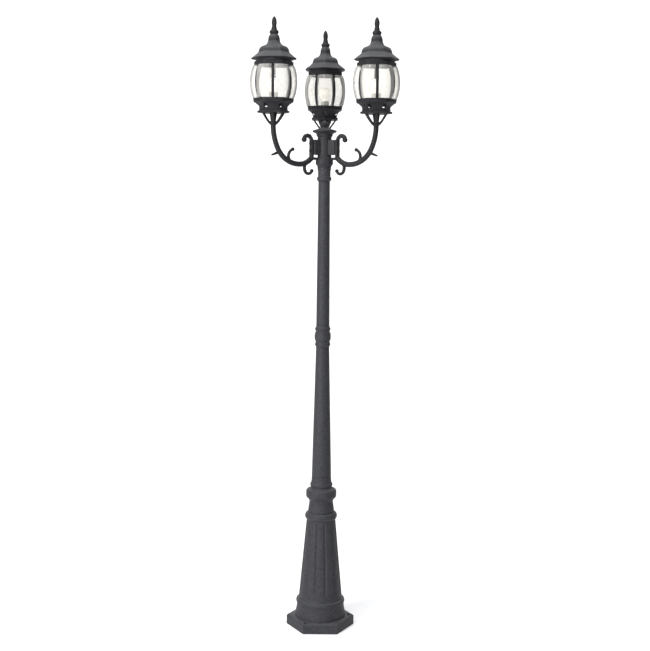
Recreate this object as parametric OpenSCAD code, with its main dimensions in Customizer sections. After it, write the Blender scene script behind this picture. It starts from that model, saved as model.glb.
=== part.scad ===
// Garden post light: a cast pedestal and tapered post carry three scrolled arms,
// each with a six-sided glazed lantern. All sizes are in millimetres.
// The origin is the centre of the foot's underside, +Z is up and the front is -Y.

/* [Foot] */
// Width of the six-sided foot across its flats
foot_flats = 220; // [215:1:250]
// Height of the foot plate
foot_h = 36; // [24:1:50]
// Bevel on the foot plate's top edges
foot_bevel = 4; // [1:0.5:7]
// Diameter of each anchor bolt hole
anchor_hole_d = 13; // [8:0.5:16]
// Diameter of the circle that the anchor holes lie on
anchor_circle_d = 216; // [212:1:222]

/* [Pedestal] */
// Wall of the pedestal casting
pedestal_wall = 6; // [4:0.5:8]
// Radius of the skirt where it leaves the foot
skirt_r = 95; // [90:1:97]
// Radius of the skirt at its top
skirt_top_r = 88.5; // [86:0.5:90]
// Height of the skirt
skirt_h = 50; // [40:1:70]
// Height of the rounded band on the skirt
skirt_band_h = 14; // [8:1:20]
// How far the rounded band stands out
skirt_band_out = 3.2; // [1:0.2:5]
// Height of the cove above the band
cove_h = 22; // [14:1:30]
// Radius at the bottom of the fluted cone
cone_r = 80; // [74:0.5:83]
// Radius at the top of the fluted cone
cone_top_r = 54.5; // [52:0.5:57]
// Height of the fluted cone
cone_h = 278; // [200:1:340]
// Number of grooves round the cone
groove_count = 12; // [6:1:16]
// Width of a groove's cutting radius at the bottom of the cone
groove_r = 6.5; // [3:0.5:8]
// Depth of the grooves
groove_depth = 3.4; // [1:0.2:4]
// Height of the bevelled band at the top of the pedestal
pedestal_band_h = 26; // [20:1:36]
// Radius of that band
pedestal_band_r = 60.5; // [59:0.5:66]

/* [Collar] */
// Height of the collar casting between pedestal and post
collar_h = 135; // [115:1:170]
// Radius of the collar casting at its foot
collar_foot_r = 49.5; // [48:0.5:51]
// Radius of the collar's waist
collar_waist_r = 45; // [42:0.5:46]
// Radius of the wide bevelled band
collar_band_r = 57.5; // [54:0.5:62]
// Height of the wide bevelled band
collar_band_h = 36; // [28:1:44]
// Radius of the small bead above the band
collar_bead_r = 42.5; // [41:0.5:45]

/* [Post] */
// Radius of the lower post at its foot
lower_r = 36.7; // [35.5:0.1:38]
// Radius where the lower post meets the coupling
coupling_r = 25.2; // [24.6:0.1:26.4]
// Length of the lower post
lower_l = 487; // [300:1:800]
// Wall of the lower post
lower_wall = 4; // [3:0.25:4.5]
// Height of the turned coupling in the middle of the post
coupling_h = 86; // [80:1:110]
// Radius of the coupling's middle bulge
coupling_bulge_r = 31; // [30:0.5:35]
// Radius of the coupling's two rings
coupling_ring_r = 29.4; // [28.5:0.1:31]
// Radius of the upper post at its top
upper_top_r = 22; // [21:0.1:23.5]
// Length of the upper post
upper_l = 546; // [300:1:800]
// Wall of the upper post
upper_wall = 3.5; // [3:0.25:4]
// How far each spigot reaches into its neighbour
spigot_l = 30; // [18:1:36]
// Bore of the wire way through the castings
wire_bore_r = 12; // [8:0.5:13]

/* [Hub] */
// Height of the ferrule on top of the post
ferrule_h = 48; // [42:1:60]
// Radius of the ferrule's ring
ferrule_ring_r = 28; // [27:0.5:31]
// Height of the hub casting
hub_h = 132; // [126:1:140]
// Radius of the hub's drum
drum_r = 33; // [31:0.5:36]
// Radius of the hub's column
column_r = 26.5; // [24:0.5:29]
// Distance from the post's axis to the seat of each arm
arm_seat_r = 51.5; // [46:0.5:56]
// Width of the wing that carries an arm
wing_w = 26; // [22:1:30]
// Height of the wing
wing_h = 57; // [48:1:62]
// Radius of the cap's brim
cap_r = 46.5; // [40:0.5:50]
// Height of the cap
cap_h = 24; // [20:1:28]
// Radius of the knob on the cap
knob_r = 12.4; // [9:0.2:15]

/* [Arms] */
// Distance from the post's axis to each lantern's axis
arm_reach = 220; // [210:1:250]
// Distance from the post's axis to the arm's lowest point
arm_low_reach = 110; // [106:1:116]
// Diameter of the arm's round bar
arm_d = 20.5; // [18:0.5:24]
// How much the bar's diameter drops at each new bend
arm_step = 0.6; // [0.3:0.1:1]
// Radius of the bend at the root of the arm
arm_root_bend = 69; // [66:1:74]
// Radius of the main bend
arm_main_bend = 100; // [90:1:104]
// Angle that the main bend turns through
arm_main_turn = 63; // [58:1:66]
// Height of the arm's lowest centre point above the hub's seat
arm_low_z = 15; // [8:1:20]
// Thickness of the strap that is bolted to the hub
strap_t = 9.5; // [8:0.5:12]
// Width of the strap
strap_w = 22; // [18:1:25]
// Diameter of the scroll on top of the strap
scroll_d = 16; // [12:0.5:18]
// Diameter of the ball that ends the strap's scroll
scroll_ball_d = 20; // [17:0.5:22]
// Radius of the scroll's centre line
scroll_bend = 14.5; // [13:0.5:16]
// How far the lug that steadies the arm hangs under the wing
lug_drop = 10; // [8:0.5:11]
// Height of that lug
lug_h = 9; // [7:0.5:10]
// Diameter of the small scrolls under and inside the arm
tendril_d = 11.5; // [9:0.5:12.5]
// Where the lower tendril starts, in degrees before the arm's lowest point
under_root = 27; // [22:1:32]
// Bend radius of the lower tendril
under_bend = 30; // [26:1:34]
// Where the inner tendril starts, in degrees past the arm's lowest point
inner_root = 18; // [12:1:26]
// Bend radius of the inner tendril
inner_bend = 28; // [22:1:32]
// Where the thorn starts, in degrees past the arm's lowest point
thorn_root = 56; // [48:1:60]
// Length of the thorn from the bar's centre line
thorn_l = 37; // [28:1:42]
// How far the thorn points down, in degrees
thorn_dip = 24; // [10:1:35]
// Diameter of the two bolts through each strap
arm_bolt_d = 6; // [5:0.5:8]

/* [Lantern holder] */
// Height of the open basket under the lantern
basket_h = 45; // [42:1:54]
// Radius of the cup at the bottom of the basket
basket_cup_r = 16.5; // [15:0.5:18]
// Height of that cup
basket_cup_h = 15; // [12:1:18]
// Width of a basket strut
strut_w = 10; // [8:0.5:11]
// Thickness of a basket strut
strut_t = 7; // [5:0.5:8]
// Bend radius of a basket strut
strut_bow = 220; // [120:10:300]
// Radius of the sleeve round the pipe where it meets the flange
sleeve_r = 14; // [11:0.5:15]
// Corner radius of the six-sided flange
flange_r = 60; // [56:0.5:64]
// Height of the flange
flange_h = 8; // [6:0.5:10]
// Corner radius of the bowl at its foot
bowl_r = 53.5; // [50:0.5:55]
// Height of the bowl
bowl_h = 32; // [28:1:38]
// Corner radius of the rings that hold the glass
ring_r = 75; // [74:0.5:76]
// Height of the bowl's rim
bowl_rim_h = 7; // [5:0.5:9]
// Wall of the lantern castings
lantern_wall = 3.5; // [3:0.25:4.5]
// Width of the opening in each face of the bowl
vent_w = 14; // [11:0.5:15]
// Height of the opening in each face of the bowl
vent_h = 16; // [15:0.5:18]
// How far the openings lean with the bowl's wall
vent_tilt = 28; // [20:1:34]
// Share of the corner radius at which the flats lie
flat_share = 0.905; // [0.88:0.005:0.93]

/* [Glass] */
// Height of the glass panes
pane_h = 122; // [112:1:132]
// Thickness of the glass at its raised field
pane_t = 3; // [2.5:0.25:4]
// Largest radius of the glass, at the middle of each pane
belly_r = 88; // [87:0.5:91]
// Height of the belly above the bottom of the glass
belly_z = 62; // [56:1:66]
// Bend radius of a pane from bottom to top
pane_bow = 127.5; // [120:0.5:140]
// Bend radius of a pane from side to side
pane_bend = 37; // [36:0.5:40]
// Width of the bevelled border round each pane
bevel_w = 8; // [5:0.5:10]
// Depth of the bevelled border
bevel_t = 1.2; // [0.6:0.2:1.6]

/* [Cage] */
// Width of a rib between two panes
rib_w = 10; // [8:0.5:12]
// Depth of a rib
rib_d = 8; // [6:0.5:9]
// Radius of the ribs' outer face at the belly
rib_r = 76; // [75:0.5:77.5]
// Bend radius of a rib
rib_bow = 145; // [138:1:155]
// Height of the ring under the glass
foot_ring_h = 6; // [4:0.5:9]
// Height of the ring over the glass
head_ring_h = 14; // [10:0.5:17]
// Corner radius of the ring over the glass
head_ring_r = 74; // [73:0.5:76]
// Bore of the rings
ring_bore_r = 58; // [56:0.5:60]

/* [Roof] */
// Corner radius of the roof's brim
brim_r = 85; // [83:0.5:90]
// Height of the lip that stands on the head ring
lip_h = 8; // [5:0.5:10]
// Thickness of the brim's edge
brim_t = 4.5; // [3:0.5:6]
// Corner radius of the dome
dome_r = 59; // [56:0.5:62]
// Share of the corner radius at which the dome's flats lie
dome_share = 0.88; // [0.86:0.005:0.92]
// Share of the corner radius at which the brim's flats lie
brim_share = 0.93; // [0.9:0.005:0.95]
// Height of the brim's slope
brim_rise = 25; // [21:0.5:28]
// Height of the dome
dome_h = 24.5; // [21:0.5:30]
// Radius of the neck on the dome
neck_r = 22.4; // [20:0.2:24]
// Height from the dome to the top of the neck
neck_h = 42; // [38:1:50]
// Wall of the roof casting
roof_wall = 3.5; // [2.5:0.25:4]
// Height of the finial
finial_h = 68; // [58:1:80]
// Radius of the finial's bead
finial_bead_r = 17; // [15.8:0.2:19]
// Radius of the finial's drop
finial_drop_r = 9.6; // [8.5:0.1:11]

/* [Lamp] */
// Radius of the lamp socket
socket_r = 17; // [16.5:0.25:20]
// Height of the lamp socket
socket_h = 42; // [36:1:46]
// Height of the socket's foot above the bowl's floor
socket_stand = 22; // [14:1:26]
// Radius of the bulb's metal base
bulb_base_r = 13; // [12.5:0.1:13.3]
// Radius of the bulb
bulb_r = 24; // [22:0.5:26]
// Height of the bulb from the tip of its base to its crown
bulb_h = 90; // [84:1:98]
// Radius of the threaded stud under the finial
stud_r = 3; // [2.5:0.25:4]
// Width of the bridge bar that carries the stud
bridge_w = 12; // [10:0.5:14]
// Thickness of the bridge bar
bridge_t = 3; // [2:0.25:3.5]
// Radius of the threaded pipe from arm to socket
pipe_r = 6; // [5:0.25:6.5]

/* [Fits] */
// Gap round a spigot
spigot_gap = 0.15; // [0.1:0.05:0.2]
// Gap between pieces that only lie together
seat_gap = 0.3; // [0.2:0.05:0.35]
// Turning the rear lantern on its pipe
rear_turn = 30; // [0:5:60]

/* [Hidden] */
$fn = 72;
eps = 0.01;

// Heights of the seats, from the ground up
z_band = foot_h + skirt_h;
z_cone = z_band + skirt_band_h + cove_h;
z_head = z_cone + cone_h;
z_collar = z_head + pedestal_band_h;
z_lower = z_collar + collar_h;
z_coupling = z_lower + lower_l;
z_upper = z_coupling + coupling_h;
z_ferrule = z_upper + upper_l;
z_hub = z_ferrule + ferrule_h;
z_cap = z_hub + hub_h;

// The arm's centre line: a root bend, a main bend and an end bend, tangent to each other.
// The end bend's radius is the one that brings the bar upright under the lantern.
arm_rest = 90 - arm_main_turn;
arm_end_bend = (arm_reach - arm_low_reach - arm_main_bend * cos(arm_rest)) / (1 - cos(arm_rest));
z_low = z_hub + arm_low_z;
z_main = z_low + arm_main_bend;
z_end = z_main + (arm_end_bend - arm_main_bend) * sin(arm_rest);
strap_mid = arm_seat_r + strap_t / 2;
root_turn = acos((arm_low_reach - strap_mid) / arm_root_bend);
z_wing = z_cap - 23 - wing_h;
z_strap = z_low + arm_root_bend * (1 - sin(root_turn));
z_scroll = z_wing + wing_h;
z_lug = z_wing - lug_drop - lug_h;
scroll_x = arm_seat_r + scroll_d / 2 + scroll_bend + seat_gap;

// Heights in a lantern, from the arm's end up
h_flange = basket_h;
h_bowl = h_flange + flange_h;
h_rim = h_bowl + bowl_h;
h_cage = h_rim + bowl_rim_h;
h_pane = h_cage + foot_ring_h;
h_head = h_pane + pane_h;
h_roof = h_head + head_ring_h;
h_brim = lip_h + brim_t;
h_dome = h_brim + brim_rise - brim_t / 2;
h_neck = h_dome + dome_h;
h_finial = h_neck + neck_h;
h_socket = h_bowl + lantern_wall + socket_stand;
h_bulb = h_socket + 7;

// Radii that follow from a neighbour
pedestal_bore_r = pedestal_band_r - 15;
lower_bore_r = lower_r - lower_wall;
upper_bore_r = upper_top_r - upper_wall;
coupling_bore_r = coupling_r - lower_wall;
rib_belly = h_pane + belly_z;

// Points along a cubic curve from p0 to p3 that leaves towards p1 and arrives from p2
function curve(p0, p1, p2, p3, n = 8) = [
    for (i = [0 : n])
        let (t = i / n, s = 1 - t)
        s * s * s * p0 + 3 * s * s * t * p1 + 3 * s * t * t * p2 + t * t * t * p3
];

// Points of a rounded bead that stands out from radius r between heights z0 and z1
function bead(r, out, z0, z1, n = 8) = [
    for (i = [0 : n])
        [r + out * sin(180 * i / n), (z0 + z1) / 2 - (z1 - z0) / 2 * cos(180 * i / n)]
];

// A turned solid from its outer profile, closed to the axis
module turned(points) {
    first = points[0];
    last = points[len(points) - 1];
    rotate_extrude()
        polygon(concat([[0, first[1]]], points, [[0, last[1]]]));
}

// A bore along Z
module bore(r, z0, z1) {
    translate([0, 0, z0])
        cylinder(r = r, h = z1 - z0);
}

// The post, from the foot up to the knob

module anchor_holes() {
    for (a = [0, 120, 240])
        rotate(a)
            translate([anchor_circle_d / 2, 0, -eps])
                cylinder(d = anchor_hole_d, h = foot_h + 2 * eps);
}

// The foot's six-sided plate with its top edges bevelled
module foot_plate() {
    corner_r = foot_flats / 2 / cos(30);
    difference() {
        cylinder(r = corner_r, h = foot_h, $fn = 6);
        for (a = [30 : 60 : 330])
            rotate(a)
                translate([foot_flats / 2 - foot_bevel, 0, foot_h])
                    rotate([0, 45, 0])
                        translate([0, -corner_r, 0])
                            cube([2 * foot_bevel, 2 * corner_r, 2 * foot_bevel]);
    }
}

// Skirt, cone and bands of the pedestal as one turned profile
function pedestal_profile() = concat(
    [[skirt_r, foot_h - eps], [skirt_r, foot_h + 8]],
    curve([skirt_r, foot_h + 8], [skirt_r - 3, foot_h + 24], [skirt_top_r, z_band - 18],
        [skirt_top_r, z_band], 6),
    bead(skirt_top_r, skirt_band_out, z_band, z_band + skirt_band_h),
    curve([skirt_top_r - 1.5, z_band + skirt_band_h], [cone_r + 1, z_band + skirt_band_h + 3],
        [cone_r + 1.5, z_cone - cove_h / 2], [cone_r, z_cone], 6),
    [
        [cone_top_r, z_head],
        [pedestal_band_r - 3, z_head + 3],
        [pedestal_band_r, z_head + 8],
        [pedestal_band_r, z_collar - 9],
        [pedestal_band_r - 3.5, z_collar - 3],
        [pedestal_band_r - 7, z_collar]
    ]
);

module pedestal() {
    slope = atan((cone_r - cone_top_r) / cone_h);
    color([0.22, 0.22, 0.24])
    difference() {
        union() {
            foot_plate();
            turned(pedestal_profile());
        }
        // rounded grooves between the cone's reeds
        for (i = [0 : groove_count - 1])
            rotate((i + 0.5) * 360 / groove_count)
                translate([cone_r + groove_r - groove_depth, 0, z_cone + 4])
                    rotate([0, -slope, 0])
                        cylinder(r1 = groove_r, r2 = groove_r * cone_top_r / cone_r,
                            h = cone_h / cos(slope) - 8);
        // the open inside
        rotate_extrude()
            polygon([
                [0, -eps],
                [skirt_top_r - pedestal_wall, -eps],
                [skirt_top_r - pedestal_wall, z_band],
                [cone_r - pedestal_wall - groove_depth, z_cone],
                [cone_top_r - pedestal_wall - groove_depth + 1, z_head],
                [0, z_head]
            ]);
        bore(pedestal_bore_r - 6, z_head - eps, z_collar + eps);
        anchor_holes();
    }
}

module pedestal_collar() {
    foot_z = z_collar;
    band_z = z_lower - 80;
    band_top = band_z + collar_band_h;
    bead_z = band_top + 6;
    spigot_r = pedestal_bore_r - 6 - spigot_gap;
    color([0.26, 0.26, 0.28])
    difference() {
        union() {
            turned(concat(
                curve([collar_foot_r, foot_z], [collar_foot_r, foot_z + 16],
                    [collar_waist_r, band_z - 26], [collar_waist_r, band_z - 12], 6),
                [
                    [collar_waist_r + 4, band_z - 4],
                    [collar_band_r - 3.5, band_z],
                    [collar_band_r, band_z + 5],
                    [collar_band_r, band_top - 10],
                    [collar_band_r - 3, band_top - 5],
                    [collar_bead_r - 1, band_top],
                    [collar_bead_r - 3, band_top + 4]
                ],
                bead(collar_bead_r - 3, 3, bead_z, bead_z + 14),
                curve([collar_bead_r - 3.2, bead_z + 15], [lower_r + 1.5, bead_z + 17],
                    [lower_r, z_lower - 12], [lower_r, z_lower], 5)
            ));
            translate([0, 0, foot_z - spigot_l / 2])
                cylinder(r = spigot_r, h = spigot_l);
            cylinder_from(lower_bore_r - spigot_gap, z_lower - 1, z_lower + spigot_l);
        }
        rotate_extrude()
            polygon([
                [0, foot_z - spigot_l],
                [spigot_r - pedestal_wall, foot_z - spigot_l],
                [collar_waist_r - 2 * pedestal_wall, band_z],
                [lower_bore_r - spigot_gap - lower_wall, z_lower],
                [lower_bore_r - spigot_gap - lower_wall, z_lower + spigot_l + eps],
                [0, z_lower + spigot_l + eps]
            ]);
    }
}

// A plain round bar from one height to another
module cylinder_from(r, z0, z1) {
    translate([0, 0, z0])
        cylinder(r = r, h = z1 - z0);
}

module lower_post() {
    color([0.3, 0.3, 0.32])
    difference() {
        translate([0, 0, z_lower])
            cylinder(r1 = lower_r, r2 = coupling_r, h = lower_l);
        // straight sockets for both spigots and a tapered bore between them
        bore(lower_bore_r, z_lower - eps, z_lower + spigot_l + 2);
        bore(coupling_bore_r - 1, z_coupling - spigot_l - 2, z_coupling + eps);
        translate([0, 0, z_lower + spigot_l + 2 - eps])
            cylinder(r1 = lower_bore_r - 1.5, r2 = coupling_bore_r - 1,
                h = lower_l - 2 * spigot_l - 4 + 2 * eps);
    }
}

module post_coupling() {
    waist_r = coupling_r + 1.6;
    mid = z_coupling + coupling_h / 2;
    color([0.26, 0.26, 0.28])
    difference() {
        union() {
            turned(concat(
                [[coupling_r, z_coupling], [coupling_r + 0.5, z_coupling + 5]],
                bead(waist_r, coupling_ring_r - waist_r, z_coupling + 8, z_coupling + 20, 6),
                bead(waist_r, coupling_bulge_r - waist_r, mid - 17, mid + 17, 10),
                bead(waist_r, coupling_ring_r - waist_r, z_upper - 20, z_upper - 8, 6),
                [[coupling_r, z_upper - 4], [coupling_r, z_upper]]
            ));
            cylinder_from(coupling_bore_r - 1 - spigot_gap, z_coupling - spigot_l, z_coupling + 1);
            cylinder_from(coupling_r - upper_wall - spigot_gap, z_upper - 1, z_upper + spigot_l);
        }
        bore(wire_bore_r, z_coupling - spigot_l - eps, z_upper + spigot_l + eps);
    }
}

module upper_post() {
    socket_r0 = coupling_r - upper_wall;
    color([0.3, 0.3, 0.32])
    difference() {
        translate([0, 0, z_upper])
            cylinder(r1 = coupling_r, r2 = upper_top_r, h = upper_l);
        bore(socket_r0, z_upper - eps, z_upper + spigot_l + 2);
        bore(upper_bore_r, z_ferrule - spigot_l - 2, z_ferrule + eps);
        translate([0, 0, z_upper + spigot_l + 2 - eps])
            cylinder(r1 = socket_r0 - 0.5, r2 = upper_bore_r,
                h = upper_l - 2 * spigot_l - 4 + 2 * eps);
    }
}

module hub_ferrule() {
    sleeve_r = upper_top_r + 2;
    color([0.26, 0.26, 0.28])
    difference() {
        union() {
            turned(concat(
                [[upper_top_r + 1, z_ferrule]],
                bead(sleeve_r, ferrule_ring_r - sleeve_r, z_ferrule + 2, z_ferrule + 18, 8),
                [
                    [sleeve_r, z_hub - 9],
                    [sleeve_r + 1.5, z_hub - 5],
                    [sleeve_r + 1.5, z_hub]
                ]
            ));
            cylinder_from(upper_bore_r - spigot_gap, z_ferrule - spigot_l, z_ferrule + 1);
            cylinder_from(wire_bore_r + 4, z_hub - 1, z_hub + 14);
        }
        bore(wire_bore_r, z_ferrule - spigot_l - eps, z_hub + 14 + eps);
    }
}

module hub_body() {
    color([0.24, 0.24, 0.26])
    difference() {
        union() {
            turned(concat(
                [[upper_top_r + 4, z_hub]],
                curve([upper_top_r + 4, z_hub + 5], [upper_top_r + 5, z_hub + 12],
                    [drum_r - 2, z_hub + 14], [drum_r, z_hub + 18], 5),
                [
                    [drum_r, z_hub + 36],
                    [drum_r - 3, z_hub + 40],
                    [column_r, z_hub + 43],
                    [column_r, z_cap - 12],
                    [column_r + 4.5, z_cap - 7],
                    [column_r + 4.5, z_cap]
                ]
            ));
            // wings that carry the arms
            for (a = [-150, -30, 90])
                rotate(a)
                    difference() {
                        translate([0, -wing_w / 2, z_wing])
                            cube([arm_seat_r, wing_w, wing_h]);
                        translate([arm_seat_r / 2, 0, z_wing + wing_h / 2])
                            rotate([0, 90, 0])
                                bolt_holes(arm_bolt_d + 2 * spigot_gap, arm_seat_r);
                    }
        }
        bore(wire_bore_r + 4 + spigot_gap, z_hub - eps, z_hub + 14 + seat_gap);
        bore(wire_bore_r, z_hub, z_cap + eps);
    }
}

// Two holes, one above the other, along local Z
module bolt_holes(d, l) {
    for (s = [-1, 1])
        translate([s * wing_h / 4, 0, 0])
            cylinder(d = d, h = l);
}

module hub_cap() {
    color([0.22, 0.22, 0.24])
    difference() {
        union() {
            turned(concat(
                [[column_r + 4.5, z_cap], [cap_r - 1.5, z_cap + 8], [cap_r, z_cap + 10],
                    [cap_r, z_cap + 12.5], [cap_r - 2, z_cap + 14]],
                curve([cap_r - 4, z_cap + 14.5], [cap_r - 16, z_cap + 17],
                    [knob_r + 8, z_cap + cap_h - 2], [knob_r + 1, z_cap + cap_h], 6)
            ));
            cylinder_from(wire_bore_r - spigot_gap, z_cap - 8, z_cap + 1);
        }
        bore(stud_r + spigot_gap, z_cap - 8 - eps, z_cap + cap_h + eps);
    }
}

module hub_knob() {
    z0 = z_cap + cap_h;
    color([0.3, 0.3, 0.32])
    union() {
        turned(concat(
            [[knob_r - 2, z0], [knob_r - 2, z0 + 2], [knob_r - 5, z0 + 4]],
            curve([knob_r - 5, z0 + 5], [knob_r + 3.4, z0 + 6], [knob_r + 3.4, z0 + 24],
                [3.5, z0 + 26.5], 10),
            curve([3.5, z0 + 26.5], [2.5, z0 + 28], [1.5, z0 + 30], [0.2, z0 + 30.5], 3)
        ));
        cylinder_from(stud_r, z_cap - 6, z0 + 1);
    }
}

// The arms

// A round bar bent in the XZ plane about centre c, from angle a0 to angle a1
module bent_bar(c, bend, a0, a1, d) {
    translate([c[0], 0, c[1]])
        rotate([90, 0, 0])
            rotate(a0)
                rotate_extrude(angle = a1 - a0)
                    translate([bend, 0])
                        circle(d = d);
}

module ball(x, z, d) {
    translate([x, 0, z])
        sphere(d = d);
}

// The ball at the end of a bent bar
module end_ball(c, bend, a, d) {
    ball(c[0] + bend * cos(a), c[1] + bend * sin(a), d);
}

// A point on the root bend, a degrees before the arm's lowest point
function on_root(a) = [
    arm_low_reach - arm_root_bend * sin(a),
    z_low + arm_root_bend * (1 - cos(a))
];

// A point on the main bend, a degrees past the arm's lowest point
function on_main(a) = [
    arm_low_reach + arm_main_bend * sin(a),
    z_main - arm_main_bend * cos(a)
];

// One arm in its own plane, with the post's axis at x = 0
module arm() {
    // the strap reaches down past the lug and the bar's root, whichever is lower
    strap_foot = min(z_lug, z_strap - 8);
    // each tendril starts on the bar's centre line and ends in a ball
    under_c = on_root(under_root) - under_bend * [cos(42), sin(42)];
    curl_c = under_c + under_bend / 2 * [cos(-30), sin(-30)];
    inner_c = on_main(inner_root) - inner_bend * [cos(-60), sin(-60)];
    thorn_p = on_main(thorn_root);
    difference() {
        union() {
            // bar
            bent_bar([arm_low_reach, z_low + arm_root_bend], arm_root_bend,
                180 + root_turn, 270, arm_d);
            bent_bar([arm_low_reach, z_main], arm_main_bend, 270, 270 + arm_main_turn,
                arm_d - arm_step);
            bent_bar([arm_reach - arm_end_bend, z_end], arm_end_bend, -arm_rest, 0,
                arm_d - 2 * arm_step);
            // strap
            translate([arm_seat_r, -strap_w / 2, strap_foot])
                cube([strap_t, strap_w, z_scroll - strap_foot]);
            // scroll over the strap
            bent_bar([scroll_x, z_scroll], scroll_bend, 0, 192, scroll_d);
            ball(scroll_x + scroll_bend, z_scroll - 1, scroll_ball_d);
            // lug that steadies the strap on the drum
            translate([drum_r - 1, -strap_w / 2, z_lug])
                cube([arm_seat_r - drum_r + 2, strap_w, lug_h]);
            // tendril under the root, in two bends
            bent_bar(under_c, under_bend, -30, 42, tendril_d + 1);
            bent_bar(curl_c, under_bend / 2, -165, -30, tendril_d);
            end_ball(curl_c, under_bend / 2, -165, tendril_d + 3);
            // tendril inside the main bend
            bent_bar(inner_c, inner_bend, -60, 68, tendril_d);
            end_ball(inner_c, inner_bend, 68, tendril_d + 2.5);
            // thorn outside the main bend
            translate([thorn_p[0], 0, thorn_p[1]])
                rotate([0, 90 + thorn_dip, 0])
                    cylinder(d1 = tendril_d + 1, d2 = tendril_d - 5, h = thorn_l);
            ball(thorn_p[0] + thorn_l * cos(thorn_dip), thorn_p[1] - thorn_l * sin(thorn_dip),
                tendril_d - 4.6);
        }
        // bores for the bolts and for the lantern's pipe
        translate([arm_seat_r - eps, 0, z_wing + wing_h / 2])
            rotate([0, 90, 0])
                bolt_holes(arm_bolt_d + 2 * spigot_gap, strap_t + 20);
        translate([arm_reach, 0, 0])
            bore(pipe_r + spigot_gap, z_end - 18, z_end + eps);
        // the lug's end follows the drum
        bore(drum_r + seat_gap, z_hub, z_cap);
    }
}

module arm_bolts() {
    translate([arm_seat_r - 20, 0, z_wing + wing_h / 2])
        rotate([0, 90, 0])
            bolt_holes(arm_bolt_d, 20 + strap_t);
    for (s = [-1, 1])
        translate([arm_seat_r + strap_t, 0, z_wing + wing_h / 2 + s * wing_h / 4])
            rotate([0, 90, 0])
                rotate(30)
                    cylinder(r = arm_bolt_d, h = arm_bolt_d * 0.6, $fn = 6);
}

// The lanterns, each with a rib at 0, 60, 120 degrees and so on, and a pane between two ribs

// A six-sided outline whose corners are cut to a circle
module soft_hex(corner_r, h, flat = flat_share) {
    linear_extrude(h)
        intersection() {
            circle(r = corner_r);
            rotate(30)
                circle(r = corner_r * flat / cos(30), $fn = 6);
        }
}

// A turned profile whose sides are flattened towards the ribs.
// The corners follow points, and the flats follow the same curve drawn in by share.
module hex_turned(points, share) {
    first = points[0];
    last = points[len(points) - 1];
    flats = [for (p = points) [p[0] * share(p[0]), p[1]]];
    side = concat(flats, [for (i = [len(flats) - 1 : -1 : 0]) [-flats[i][0], flats[i][1]]]);
    intersection() {
        rotate_extrude()
            polygon(concat([[0, first[1]]], points, [[0, last[1]]]));
        hex_side(side, 0);
        hex_side(side, 60);
        hex_side(side, 120);
    }
}

module hex_side(side, a) {
    rotate(a)
        rotate([90, 0, 0])
            linear_extrude(2 * brim_r + 20, center = true)
                polygon(side);
}

// Outline of the bowl from its foot up to the rim
function bowl_profile(inset) = concat(
    [[bowl_r - inset, h_bowl - 1], [bowl_r - inset, h_bowl + 6]],
    curve([bowl_r - inset, h_bowl + 6], [bowl_r - inset, h_bowl + 0.6 * bowl_h],
        [ring_r - 12 - inset, h_rim - 0.2 * bowl_h], [ring_r - inset, h_rim], 6)
);

module holder() {
    flat = function (r) flat_share;
    difference() {
        union() {
            hex_turned(bowl_profile(0), flat);
            translate([0, 0, h_rim - 1])
                soft_hex(ring_r, bowl_rim_h + 1);
            translate([0, 0, h_flange])
                rotate(30)
                    cylinder(r = flange_r, h = flange_h, $fn = 6);
            // basket
            turned([
                [basket_cup_r - 5.5, 0],
                [basket_cup_r, basket_cup_h - 4],
                [basket_cup_r - 1, basket_cup_h - 1],
                [pipe_r + 4, basket_cup_h]
            ]);
            for (a = [0 : 60 : 300])
                rotate(a)
                    strut();
        }
        // inside of the bowl, its floor left on
        intersection() {
            hex_turned(bowl_profile(lantern_wall), flat);
            cylinder_from(ring_r, h_bowl + lantern_wall, h_rim + eps);
        }
        translate([0, 0, h_rim - eps])
            soft_hex(ring_r - 2 * lantern_wall, bowl_rim_h + 2 * eps);
        bore(pipe_r + spigot_gap, -eps, h_bowl + lantern_wall + eps);
        // one opening in each face, under the middle of a pane
        for (a = [30 : 60 : 330])
            rotate(a)
                translate([bowl_r + 3.5, 0, h_bowl + bowl_h / 2])
                    rotate([0, 90 + vent_tilt, 0])
                        linear_extrude(4 * lantern_wall + 8, center = true)
                            vent();
    }
}

// An arched hole with its crown at -X: half a circle on a square foot
module vent() {
    translate([(vent_w - vent_h) / 2, 0])
        circle(d = vent_w);
    translate([(vent_w - vent_h) / 2, -vent_w / 2])
        square([vent_h - vent_w / 2, vent_w]);
}

// One bowed strut of the basket, from the cup to the flange
module strut() {
    foot = [basket_cup_r - 3, 6];
    head = [flange_r * cos(30) - 9, h_flange + 1];
    chord = head - foot;
    span = norm(chord);
    half = asin(span / 2 / strut_bow);
    dir = atan2(chord[1], chord[0]);
    mid = (foot + head) / 2;
    centre = mid + strut_bow * cos(half) * [-sin(dir), cos(dir)];
    translate([centre[0], 0, centre[1]])
        rotate([90, 0, 0])
            rotate(dir - 90 - half)
                rotate_extrude(angle = 2 * half)
                    translate([strut_bow, 0])
                        square([strut_t, strut_w], center = true);
}

module pipe() {
    bore_top = h_socket + 3;
    difference() {
        union() {
            cylinder_from(pipe_r, -16, bore_top);
            // sleeve that widens from the basket's cup to the flange
            translate([0, 0, basket_cup_h + seat_gap])
                cylinder(r1 = pipe_r + 3.5, r2 = sleeve_r,
                    h = h_flange - basket_cup_h - 2 * seat_gap);
            // nut on the bowl's floor and nut under the socket
            for (z = [h_bowl + lantern_wall + seat_gap, h_socket - 5 - seat_gap])
                translate([0, 0, z])
                    cylinder(r = 10, h = 5, $fn = 6);
        }
        bore(pipe_r - 1.8, -16 - eps, bore_top + eps);
    }
}

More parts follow.
